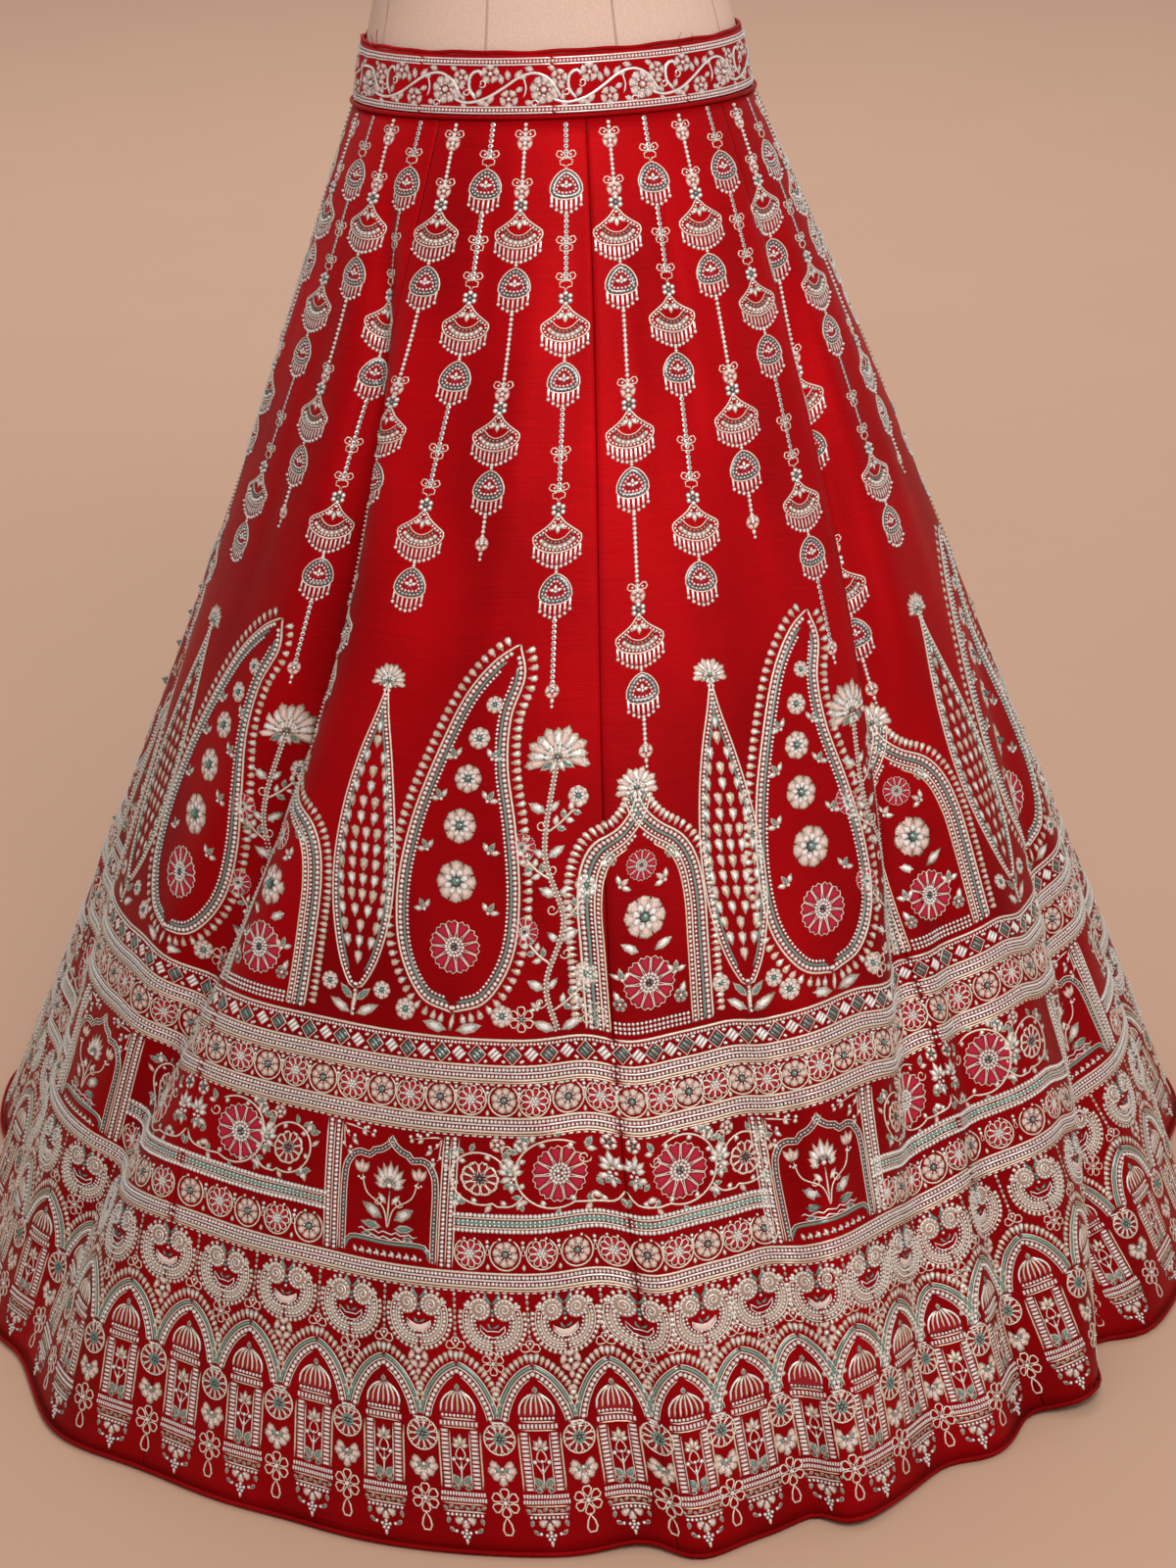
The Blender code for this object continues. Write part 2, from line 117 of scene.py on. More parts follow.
# Small creases in the cloth, each a straight run from one place to another. Depth is how
# far the cloth moves off (+) or in (-).
CREASE_COLUMNS = ("turn", "fall", "end_turn", "end_fall", "half_width", "depth")
CREASES = (
    (0.10, 0.01, 0.16, 0.40, 0.010, 0.0022),
    (0.46, 0.00, 0.44, 0.22, 0.008, -0.0018),
    (0.72, 0.03, 0.64, 0.52, 0.014, 0.0026),
    (0.93, 0.00, 0.86, 0.30, 0.009, -0.0016),
    (0.30, 0.46, 0.18, 0.70, 0.015, -0.0030),
    (0.72, 0.68, 0.95, 0.80, 0.012, 0.0030),
    (0.18, 0.79, 0.42, 0.86, 0.010, -0.0028),
    (1.12, 0.00, 1.20, 0.36, 0.010, 0.0020),
    (1.40, 0.02, 1.44, 0.28, 0.008, -0.0020),
    (1.66, 0.00, 1.70, 0.45, 0.013, 0.0024),
    (1.10, 0.60, 1.30, 0.72, 0.012, -0.0026),
    (1.52, 0.70, 1.80, 0.78, 0.012, 0.0028),
    (2.20, 0.00, 2.24, 0.33, 0.010, -0.0022),
    (2.55, 0.03, 2.50, 0.50, 0.014, 0.0024),
    (2.82, 0.00, 2.80, 0.25, 0.008, -0.0016),
    (2.30, 0.72, 2.62, 0.80, 0.014, 0.0030),
    (3.25, 0.02, 3.28, 0.42, 0.012, 0.0022),
    (3.60, 0.00, 3.66, 0.30, 0.009, -0.0018),
    (3.40, 0.66, 3.72, 0.78, 0.013, -0.0028),
    (4.18, 0.01, 4.16, 0.35, 0.011, 0.0022),
    (4.56, 0.00, 4.62, 0.50, 0.013, -0.0024),
    (4.30, 0.75, 4.58, 0.83, 0.012, 0.0028),
    (5.15, 0.02, 5.22, 0.38, 0.010, 0.0020),
    (5.52, 0.00, 5.50, 0.30, 0.009, -0.0020),
    (5.80, 0.05, 5.74, 0.55, 0.014, 0.0024),
    (5.30, 0.70, 5.60, 0.76, 0.012, -0.0028),
    (6.20, 0.00, 6.26, 0.40, 0.011, -0.0020),
    (6.60, 0.02, 6.55, 0.33, 0.010, 0.0022),
    (6.44, 0.68, 6.80, 0.80, 0.013, 0.0028),
    (7.18, 0.00, 7.14, 0.36, 0.010, 0.0020),
    (7.50, 0.01, 7.56, 0.48, 0.013, -0.0024),
    (7.84, 0.03, 7.80, 0.30, 0.009, 0.0018),
    (7.30, 0.74, 7.55, 0.84, 0.012, 0.0028),
)

# How finely the shells follow the surface.
CLOTH_FALL = 1.056  # length of cloth from the waistband to the hem
CLOTH_WALL = 0.0012
HEM_CLEAR = 0.0008  # keeps the inside of the cloth's edge on the floor
SHELL_ROWS = 72
EDGE_SHARES = (0.0, 0.004, 0.012)  # columns beside a seam, as shares of a panel's width
MIDDLE_EDGE = 0.03  # where the even columns begin
HEM_FLAT = 0.03  # length of cloth over which creases die out above the hem
MIDDLE_COLUMNS = 42
SEAM_PINCH = 0.0009
LEVELS = 150

# ---- The skirt's surface ----


def rows(columns, table):
    """The table's rows as dictionaries keyed by column name."""
    return [dict(zip(columns, row)) for row in table]


def mix(first, last, share):
    return first + (last - first) * share


def through(places, values, down):
    """The lowest polynomial that has those values at those places."""
    total = 0.0
    for k, value in enumerate(values):
        term = value
        for m, place in enumerate(places):
            if m != k:
                term = term * (down - place) / (places[k] - place)
        total = total + term
    return total


def fold_path(fold, down):
    values = [fold[name] for name in FOLD_COLUMNS[:4]]
    return through((0, 1 / 3, 2 / 3, 1), values, down)


def fold_depth(fold, down):
    places = (fold["start"], FOLD_MIDDLE, 1)
    depth = through(places, (0, fold["middle_depth"], fold["hem_depth"]), down)
    return np.where(down > fold["start"], depth, 0)


def fold_share(fold, angle, down):
    away = (angle - fold_path(fold, down) + 180.0) % 360.0 - 180.0
    return np.exp(-((away / fold["half_width_deg"]) ** 2))


def seam_angle(seam, down):
    return through((0, 0.5, 1), [seam[name] for name in SEAM_COLUMNS], down)


def skirt_point(angle, down):
    """Points on the outside of the skirt's solids."""
    top_half_width = BAND_TOP_HALF_WIDTH + BAND_FLARE
    half_width = mix(top_half_width, HEM_HALF_WIDTH, down)
    half_depth = mix(top_half_width * WAIST_DEPTH_SHARE, HEM_HALF_DEPTH, down)
    turn = np.radians(angle)
    shift_x = through((0, SHIFT_MIDDLE, 1), (0, MIDDLE_SHIFT_X, HEM_SHIFT_X), down)
    out = np.zeros_like(half_width)
    side = np.zeros_like(half_width)
    lift = np.zeros_like(half_width)
    for fold in rows(FOLD_COLUMNS, FOLDS):
        share = fold_share(fold, angle, down)
        out = out + fold_depth(fold, down) * share
        side = side + fold["lean"] * share * down**2
        lift = lift + fold["lift"] * share * down**6
    x = (half_width + out) * np.sin(turn) + side * np.cos(turn) + shift_x
    y = side * np.sin(turn) - (half_depth + out) * np.cos(turn)
    top = WAIST_Z - BAND_HEIGHT - SEAM_GAP
    z = top * (1 - down) - WAIST_TILT * y * (1 - down) + lift
    return np.stack([x, y, z], axis=-1)


def panel_angles(down, shares):
    """The angles at one level of every panel's columns, spaced along the cloth."""
    ring = SEAMS[0][0] - 45.0 + np.linspace(0, 450, RING_SAMPLES + 1)
    points = skirt_point(ring, np.full(ring.shape, down))
    steps = np.linalg.norm(np.diff(points, axis=0), axis=1)
    lengths = np.concatenate([[0], np.cumsum(steps)])
    seams = [seam_angle(seam, down) for seam in rows(SEAM_COLUMNS, SEAMS)]
    edges = np.interp(seams + [seams[0] + 360.0], ring, lengths)
    first, last = edges[:-1, None] + SEAM_GAP / 2, edges[1:, None] - SEAM_GAP / 2
    return np.interp(mix(first, last, shares), lengths, ring)


def unit(vectors):
    return vectors / np.linalg.norm(vectors, axis=-1, keepdims=True)


def grid_normals(points):
    """Normals away from the legs, for grids of panels by rows by columns."""
    fall = np.gradient(points, axis=1)
    along = np.gradient(points, axis=2)
    return unit(np.cross(fall, along))


def column_shares():
    middle = np.linspace(MIDDLE_EDGE, 1 - MIDDLE_EDGE, MIDDLE_COLUMNS)
    return np.concatenate([EDGE_SHARES, middle, 1 - np.array(EDGE_SHARES[::-1])])


def crease_depth(turn, fall, width):
    """How far the small creases and the seams' pinch move the cloth, at each place."""
    total = np.zeros_like(fall)
    for crease in rows(CREASE_COLUMNS, CREASES):
        x = ((turn - crease["turn"] + PANELS / 2) % PANELS - PANELS / 2) * width
        y = fall - crease["fall"]
        run_x = (crease["end_turn"] - crease["turn"]) * width
        run_y = crease["end_fall"] - crease["fall"]
        length = np.hypot(run_x, run_y)
        share = (x * run_x + y * run_y) / length**2
        away = (x * run_y - y * run_x) / length
        swell = np.sin(np.pi * np.clip(share, 0, 1)) ** 1.5
        total += crease["depth"] * swell * np.exp(-((away / crease["half_width"]) ** 2))
    edge = np.abs(turn - np.round(turn))
    total -= SEAM_PINCH * np.clip(1 - edge / EDGE_SHARES[-1], 0, 1)
    return total * np.clip((CLOTH_FALL - fall) / HEM_FLAT, 0, 1)


def cloth_grid(shares):
    """Points of the panels, rows evenly spaced down each column's own length of cloth."""
    levels = np.linspace(0, 1, LEVELS + 1)
    angles = np.stack([panel_angles(down, shares) for down in levels], axis=1)
    down = np.broadcast_to(levels[None, :, None], angles.shape)
    steps = np.linalg.norm(np.diff(skirt_point(angles, down), axis=1), axis=-1)
    lengths = np.concatenate([np.zeros_like(steps[:, :1]), np.cumsum(steps, axis=1)], axis=1)
    wanted = np.linspace(0, 1, SHELL_ROWS + 1)
    row_down = np.empty((PANELS, SHELL_ROWS + 1, len(shares)))
    row_angle = np.empty_like(row_down)
    for k in range(PANELS):
        for c in range(len(shares)):
            done = lengths[k, :, c] / lengths[k, -1, c]
            row_down[k, :, c] = np.interp(wanted, done, levels)
            row_angle[k, :, c] = np.interp(row_down[k, :, c], levels, angles[k, :, c])
    return skirt_point(row_angle, row_down)


SHARES = column_shares()
FALLS = np.linspace(0, CLOTH_FALL, SHELL_ROWS + 1)
CLOTH = cloth_grid(SHARES)
WIDTHS = np.linalg.norm(np.diff(CLOTH, axis=2), axis=-1).sum(axis=2)
TURNS = np.broadcast_to(np.arange(PANELS)[:, None, None] + SHARES, CLOTH.shape[:3])
CLOTH = CLOTH + grid_normals(CLOTH) * crease_depth(
    TURNS, np.broadcast_to(FALLS[None, :, None], TURNS.shape), WIDTHS[:, :, None]
)[..., None]
CLOTH[:, -1, :, 2] += HEM_CLEAR
CLOTH_NORMALS = grid_normals(CLOTH)


def panel_width(turn, fall):
    """The width of the panel there, in metres."""
    panel = np.floor(turn).astype(int) % PANELS
    row = np.clip(fall / CLOTH_FALL, 0, 1) * SHELL_ROWS
    upper = np.minimum(row.astype(int), SHELL_ROWS - 1)
    return mix(WIDTHS[panel, upper], WIDTHS[panel, upper + 1], row - upper)


def on_skirt(turn, fall, height):
    """Points that height off the skirt's cloth."""
    panel = np.floor(turn).astype(int) % PANELS
    across = np.interp(turn - np.floor(turn), SHARES, np.arange(len(SHARES)))
    row = np.clip(fall / CLOTH_FALL, 0, 1) * SHELL_ROWS
    c = np.minimum(across.astype(int), len(SHARES) - 2)
    r = np.minimum(row.astype(int), SHELL_ROWS - 1)
    u, v = (across - c)[..., None], (row - r)[..., None]
    found = []
    for grid in (CLOTH, CLOTH_NORMALS):
        upper = mix(grid[panel, r, c], grid[panel, r, c + 1], u)
        lower = mix(grid[panel, r + 1, c], grid[panel, r + 1, c + 1], u)
        found.append(mix(upper, lower, v))
    return found[0] + unit(found[1]) * height[..., None]


# ---- The waistband's surface ----

BAND_SAMPLES = 720
BAND_SEGMENTS = 240  # of its shell and of the pipings at its edges
GATHER_ANGLE = math.radians(-72)
GATHER_SPREAD = 0.09
GATHER_DEPTH = 0.0024
GATHERS = 40  # if they ran all the way round
BAND_TURN = np.radians(np.linspace(0, 360, BAND_SAMPLES + 1) - 90)
_plan = np.stack([np.sin(BAND_TURN), -WAIST_DEPTH_SHARE * np.cos(BAND_TURN)], axis=-1)
_steps = np.linalg.norm(np.diff(_plan, axis=0), axis=1)
BAND_SHARE = np.concatenate([[0], np.cumsum(_steps)]) / _steps.sum()
BAND_ROUND = _steps.sum() * (BAND_TOP_HALF_WIDTH + BAND_FLARE / 2)


def band_point(angle, below_top, inset=0.0):
    """A point of the waistband's outside, which is gathered at the wearer's right."""
    half_width = BAND_TOP_HALF_WIDTH + BAND_FLARE * below_top / BAND_HEIGHT
    wave = 0.0006 * np.sin(9 * angle + 1) + 0.0005 * np.sin(14 * angle)
    near = np.exp((np.cos(angle - GATHER_ANGLE) - 1) / GATHER_SPREAD)
    wave = wave + GATHER_DEPTH * near * (0.5 + 0.5 * np.sin(GATHERS * angle))
    wave = wave * np.sin(np.pi * np.clip(below_top / BAND_HEIGHT, 0, 1))
    x = (half_width - inset + wave) * np.sin(angle)
    y = -(half_width * WAIST_DEPTH_SHARE - inset + wave) * np.cos(angle)
    return np.stack([x, y, WAIST_Z - below_top - WAIST_TILT * y], axis=-1)


def band_width(turn, fall):
    """The length of waistband in one turn, which is the same at every fall."""
    return np.full(np.shape(turn), BAND_ROUND / PANELS)


def on_band(turn, fall, height):
    """Points that height off the waistband; turn 0 is at the wearer's right side."""
    angle = np.interp((turn / PANELS) % 1.0, BAND_SHARE, BAND_TURN)
    return band_point(angle, fall, -height)


# ---- Materials ----


def nodes_of(name):
    material = bpy.data.materials.new(name)
    material.use_nodes = True
    tree = material.node_tree
    return material, tree, tree.nodes["Principled BSDF"]


def add_node(tree, kind, inputs=(), **values):
    """A node with its values set and its inputs linked or filled."""
    node = tree.nodes.new(kind)
    for name, value in values.items():
        setattr(node, name, value)
    for name, value in dict(inputs).items():
        if isinstance(value, bpy.types.NodeSocket):
            tree.links.new(value, node.inputs[name])
        else:
            node.inputs[name].default_value = value
    return node


def blend_colours(tree, share, first, second):
    """A colour between two, by a share that varies over the surface."""
    ramp = add_node(tree, "ShaderNodeValToRGB", {"Fac": share})
    ramp.color_ramp.elements[0].color = (*first, 1)
    ramp.color_ramp.elements[0].position = 0.32
    ramp.color_ramp.elements[1].color = (*second, 1)
    ramp.color_ramp.elements[1].position = 0.68
    return ramp.outputs["Color"]


def mapped_noise(tree, place, stretch, scale, detail):
    """Noise over a place, stretched along its axes."""
    mapping = add_node(tree, "ShaderNodeMapping", {"Vector": place})
    mapping.inputs["Scale"].default_value = stretch
    inputs = {"Vector": mapping.outputs["Vector"], "Scale": scale, "Detail": detail}
    return add_node(tree, "ShaderNodeTexNoise", inputs).outputs["Fac"]


def object_noise(tree, scale, detail=3.0, stretch=(1, 1, 1)):
    """Noise fixed to the object, with that many lumps to the metre."""
    place = add_node(tree, "ShaderNodeTexCoord").outputs["Object"]
    return mapped_noise(tree, place, stretch, scale, detail)


def add_bump(tree, shader, height, strength, distance):
    bump = add_node(tree, "ShaderNodeBump", {"Height": height, "Strength": strength, "Distance": distance})
    tree.links.new(bump.outputs["Normal"], shader.inputs["Normal"])


# Painted shade: the silk's colour is darkened down the skirt, under the dense embroidery, from 0.93 where the
# fall is 0.34 m to 0.60 where it is 0.66 m.
SILK_PAINTED_SHADE = (0.34, 0.66, 0.93, 0.60)


def silk_material():
    """Dupion silk: a satin face with uneven, slubbed threads across it."""
    material, tree, shader = nodes_of("red_silk_cloth")
    uv = add_node(tree, "ShaderNodeUVMap", uv_map="cloth").outputs["UV"]
    slubs = mapped_noise(tree, uv, (14, 900, 1), 1.0, 3.0)
    warp = mapped_noise(tree, uv, (1300, 160, 1), 1.0, 1.0)
    tone = object_noise(tree, 11, detail=2.0, stretch=(1, 1, 0.35))
    fine = add_node(tree, "ShaderNodeMath", {0: slubs, 1: 0.3}, operation="MULTIPLY").outputs[0]
    share = add_node(tree, "ShaderNodeMath", {0: tone, 1: 0.7, 2: fine}, operation="MULTIPLY_ADD").outputs[0]
    colour = blend_colours(tree, share, (0.31, 0.002, 0.004), (0.56, 0.003, 0.006))
    # Painted shade: the colour is multiplied by a factor that falls with the cloth map's fall.
    fall = add_node(tree, "ShaderNodeSeparateXYZ", {"Vector": uv}).outputs["Y"]
    shaded = add_node(tree, "ShaderNodeMapRange", {"Value": fall})
    for socket, value in zip(("From Min", "From Max", "To Min", "To Max"), SILK_PAINTED_SHADE):
        shaded.inputs[socket].default_value = value
    colour = add_node(tree, "ShaderNodeVectorMath", {0: colour, 1: shaded.outputs[0]}, operation="MULTIPLY")
    tree.links.new(colour.outputs[0], shader.inputs["Base Color"])
    threads = add_node(tree, "ShaderNodeMath", {0: slubs, 1: warp}, operation="ADD").outputs[0]
    crumple = object_noise(tree, 34, detail=2.5)
    crumple = add_node(tree, "ShaderNodeMath", {0: crumple, 1: 5.0}, operation="MULTIPLY").outputs[0]
    height = add_node(tree, "ShaderNodeMath", {0: threads, 1: crumple}, operation="ADD").outputs[0]
    add_bump(tree, shader, height, 0.35, 0.0005)
    shader.inputs["Roughness"].default_value = 0.46
    shader.inputs["Metallic"].default_value = 0.12
    shader.inputs["Specular IOR Level"].default_value = 0.20
    shader.inputs["Specular Tint"].default_value = (1.0, 0.10, 0.09, 1)
    return material


# Embroidery threads and beads: two shades, roughness, metallic, coat, lumps to the metre, and how strongly
# they bump. The first shade is painted shade at the sunk edges of each shape, the second a painted highlight
# on its top.
THREAD_COLUMNS = ("shade", "light", "roughness", "metallic", "coat", "lumps", "bump")
THREADS = {
    "zari": ((0.15, 0.08, 0.05), (0.89, 0.76, 0.62), 0.40, 0.25, 0.0, 620, 0.6),
    "gold": ((0.12, 0.065, 0.035), (0.88, 0.67, 0.46), 0.34, 0.45, 0.2, 420, 0.6),
    "pearl": ((0.34, 0.26, 0.22), (0.93, 0.90, 0.86), 0.30, 0.0, 0.5, 420, 0.1),
    "silver": ((0.16, 0.12, 0.10), (0.99, 0.94, 0.89), 0.30, 0.30, 0.3, 480, 0.4),
    "teal": ((0.01, 0.03, 0.025), (0.17, 0.29, 0.24), 0.25, 0.15, 0.6, 420, 0.3),
    "slate": ((0.008, 0.018, 0.02), (0.09, 0.14, 0.14), 0.22, 0.20, 0.6, 420, 0.3),
    "blush": ((0.34, 0.13, 0.10), (0.88, 0.66, 0.58), 0.60, 0.0, 0.0, 700, 0.6),
    "rose": ((0.26, 0.001, 0.016), (0.52, 0.001, 0.034), 0.80, 0.0, 0.0, 900, 0.5),
    # A gold-brown ground laid under bead rows, darkened to paint the shade in the gaps between them.
    "ground_and_shade": ((0.17, 0.08, 0.05), (0.44, 0.28, 0.20), 0.60, 0.20, 0.0, 700, 0.6),
    "wine": ((0.20, 0.001, 0.003), (0.30, 0.002, 0.005), 0.95, 0.0, 0.0, 900, 0.3),
}
KINDS = tuple(THREADS)
MATERIALS = {}


def thread_material(name):
    facts = dict(zip(THREAD_COLUMNS, THREADS[name]))
    material, tree, shader = nodes_of(f"thread_{name}")
    noise = object_noise(tree, facts["lumps"])
    lumps = add_node(tree, "ShaderNodeMath", {0: noise, 1: 0.44}, operation="MULTIPLY").outputs[0]
    # Painted shade and highlight: through the rise attribute each shape is darker at its edges and lighter on
    # its top; the noise adds uneven tone.
    rise = add_node(tree, "ShaderNodeAttribute", attribute_name="rise").outputs["Fac"]
    share = add_node(tree, "ShaderNodeMath", {0: rise, 1: 0.7, 2: lumps}, operation="MULTIPLY_ADD").outputs[0]
    colour = blend_colours(tree, share, facts["shade"], facts["light"])
    tree.links.new(colour, shader.inputs["Base Color"])
    add_bump(tree, shader, noise, facts["bump"], 0.0006)
    shader.inputs["Roughness"].default_value = facts["roughness"]
    shader.inputs["Metallic"].default_value = facts["metallic"]
    shader.inputs["Coat Weight"].default_value = facts["coat"]
    shader.inputs["Coat Roughness"].default_value = 0.15
    return material


# Materials of the form, the stand and the floor: name, two shades, roughness, metallic,
# lumps to the metre, how strongly they bump, and how much they are squeezed upwards.
PLAIN = {
    "form": ("form_cloth_cover", (0.70, 0.47, 0.37), (0.78, 0.55, 0.44), 0.85, 0.0, 700, 0.25, 1),
    "form_seam": ("form_cloth_seam", (0.48, 0.30, 0.23), (0.58, 0.38, 0.30), 0.9, 0.0, 500, 0.2, 1),
    "wood": ("turned_wood", (0.22, 0.11, 0.05), (0.46, 0.27, 0.13), 0.45, 0.0, 26, 0.15, 7),
    "metal": ("brushed_metal", (0.50, 0.50, 0.49), (0.66, 0.66, 0.64), 0.30, 1.0, 500, 0.06, 1),
    "floor": ("studio_floor", (0.615, 0.375, 0.260), (0.625, 0.383, 0.266), 0.9, 0.0, 3, 0.0, 1),
}


def plain_material(name, shade, light, roughness, metallic, lumps, bump, squeeze):
    material, tree, shader = nodes_of(name)
    noise = object_noise(tree, lumps, stretch=(1, 1, squeeze))
    tree.links.new(blend_colours(tree, noise, shade, light), shader.inputs["Base Color"])
    add_bump(tree, shader, noise, bump, 0.0004)
    shader.inputs["Roughness"].default_value = roughness
    shader.inputs["Metallic"].default_value = metallic
    return material


def make_materials():
    MATERIALS["silk"] = silk_material()
    for name in KINDS:
        MATERIALS[name] = thread_material(name)
    for key, facts in PLAIN.items():
        MATERIALS[key] = plain_material(*facts)


# ---- Meshes ----


def mesh_object(name, points, faces, materials, face_kinds=None, smooth=True):
    """An object from arrays of points and of triangles or quads."""
    mesh = bpy.data.meshes.new(name)
    sides = faces.shape[1]
    mesh.vertices.add(len(points))
    mesh.vertices.foreach_set("co", np.asarray(points, np.float32).ravel())
    mesh.loops.add(faces.size)
    mesh.loops.foreach_set("vertex_index", faces.astype(np.int32).ravel())
    mesh.polygons.add(len(faces))
    mesh.polygons.foreach_set("loop_start", np.arange(0, faces.size, sides, dtype=np.int32))
    for material in materials:
        mesh.materials.append(MATERIALS[material])
    if face_kinds is not None:
        mesh.polygons.foreach_set("material_index", face_kinds.astype(np.int32))
    mesh.polygons.foreach_set("use_smooth", np.full(len(faces), smooth))
    mesh.update(calc_edges=True)
    mesh.validate()
    thing = bpy.data.objects.new(name, mesh)
    bpy.context.scene.collection.objects.link(thing)
    return thing


def grid_faces(row_count, column_count, closed_round=False):
    """Quads over a grid of points whose rows run down and columns to the right."""
    columns = np.arange(column_count if closed_round else column_count - 1)
    following = (columns + 1) % column_count
    upper = np.arange(row_count - 1)[:, None] * column_count
    lower = upper + column_count
    quads = [upper + columns, lower + columns, lower + following, upper + following]
    return np.stack(quads, axis=-1).reshape(-1, 4)


TUBE_SIDES = 10


def tube(name, centres, radius, material):
    """A closed round cord through the centres."""
    ahead = np.roll(centres, -1, axis=0) - np.roll(centres, 1, axis=0)
    side = unit(np.cross(ahead, (0, 0, 1)))
    above = unit(np.cross(side, ahead))
    turn = np.linspace(0, 2 * math.pi, TUBE_SIDES, endpoint=False)[:, None, None]
    rings = centres + radius * (np.cos(turn) * side - np.sin(turn) * above)
    faces = grid_faces(TUBE_SIDES + 1, len(centres), closed_round=True) % (TUBE_SIDES * len(centres))
    return mesh_object(name, rings.reshape(-1, 3), faces, [material])


# ---- Paths, in millimetres ----


def spline(a, b, c, d, t):
    """Where a smooth curve through four points is, between the second and the third."""
    curve = 2 * b + (c - a) * t + (2 * a - 5 * b + 4 * c - d) * t**2
    return (curve + (3 * b - a - 3 * c + d) * t**3) / 2


def smooth(points, step, closed=False):
    """A curve through the points, as points about one step apart."""
    points = np.asarray(points, float)
    if closed:
        ring = np.vstack([points[-1:], points, points[:2]])
    else:
        ring = np.vstack([2 * points[0] - points[1], points, 2 * points[-1] - points[-2]])
    pieces = []
    for a, b, c, d in zip(ring, ring[1:], ring[2:], ring[3:]):
        count = max(1, round(np.linalg.norm(c - b) / step))
        pieces.append(spline(a, b, c, d, np.arange(count)[:, None] / count))
    if not closed:
        pieces.append(points[-1:])
    return np.vstack(pieces)


def mirrored(half):
    """A closed outline from its right half, which runs from its top to its bottom."""
    half = np.asarray(half, float)
    left = half[::-1] * (-1, 1)
    return np.vstack([half, left[np.abs(left[:, 0]) > 1e-6]])


def spiral(x, y, outer, inner, start, end, count):
    """Points on a spiral; degrees run clockwise from the right."""
    turn = np.radians(np.linspace(start, end, count))
    radius = np.linspace(outer, inner, count)
    return np.stack([x + radius * np.cos(turn), y + radius * np.sin(turn)], axis=-1)


def arc(x, y, radius, start, end, count):
    return spiral(x, y, radius, radius, start, end, count)


def headings(path, closed=False):
    """The path's unit direction at each point."""
    if closed:
        return unit(np.roll(path, -1, axis=0) - np.roll(path, 1, axis=0))
    return unit(np.gradient(path, axis=0))


def moved(path, distance, closed=False):
    """The path moved to its own right, on a cloth seen from outside."""
    ahead = headings(path, closed)
    return path + distance * np.stack([-ahead[:, 1], ahead[:, 0]], axis=-1)


def spaced(path, pitch, closed=False):
    """Points evenly spaced along a path, and the direction at each in degrees."""
    path = np.asarray(path, float)
    if closed:
        path = np.vstack([path, path[:1]])
    steps = np.linalg.norm(np.diff(path, axis=0), axis=1)
    lengths = np.concatenate([[0], np.cumsum(steps)])
    count = max(1, round(lengths[-1] / pitch))
    at = (np.arange(count) + 0.5) / count * lengths[-1]
    found = np.stack([np.interp(at, lengths, path[:, k]) for k in (0, 1)], axis=-1)
    ahead = [np.interp(at + d, lengths, path[:, k]) for d in (-0.5, 0.5) for k in (0, 1)]
    return found, np.degrees(np.arctan2(ahead[3] - ahead[1], ahead[2] - ahead[0]))


# ---- Motifs ----

LEAF_OUTLINE = np.array([(0, 0), (0.30, -0.46), (0.66, -0.42), (1, 0), (0.66, 0.42), (0.30, 0.46)])
PETAL_OUTLINE = np.array([(0, 0), (0.45, -0.42), (0.85, -0.46), (1, 0), (0.85, 0.46), (0.45, 0.42)])
HEART_OUTLINE = np.array(
    [(0, 0), (0.45, -0.30), (0.86, -0.50), (1.0, -0.24), (0.90, 0), (1.0, 0.24), (0.86, 0.50), (0.45, 0.30)]
)
LOOP_OUTLINE = np.array(
    [(0, 0), (0.35, -0.36), (0.70, -0.50), (0.95, -0.30), (0.95, 0.30), (0.70, 0.50), (0.35, 0.36)]
)
FEATHERS = ("silver", "gold", "blush")  # the threads of an edge's petals, in turn
EDGE_SINK = -0.15  # how far the edges of threads lie in the cloth


def turned(points, degrees):
    a = math.radians(degrees)
    return points @ np.array([(math.cos(a), math.sin(a)), (-math.sin(a), math.cos(a))])


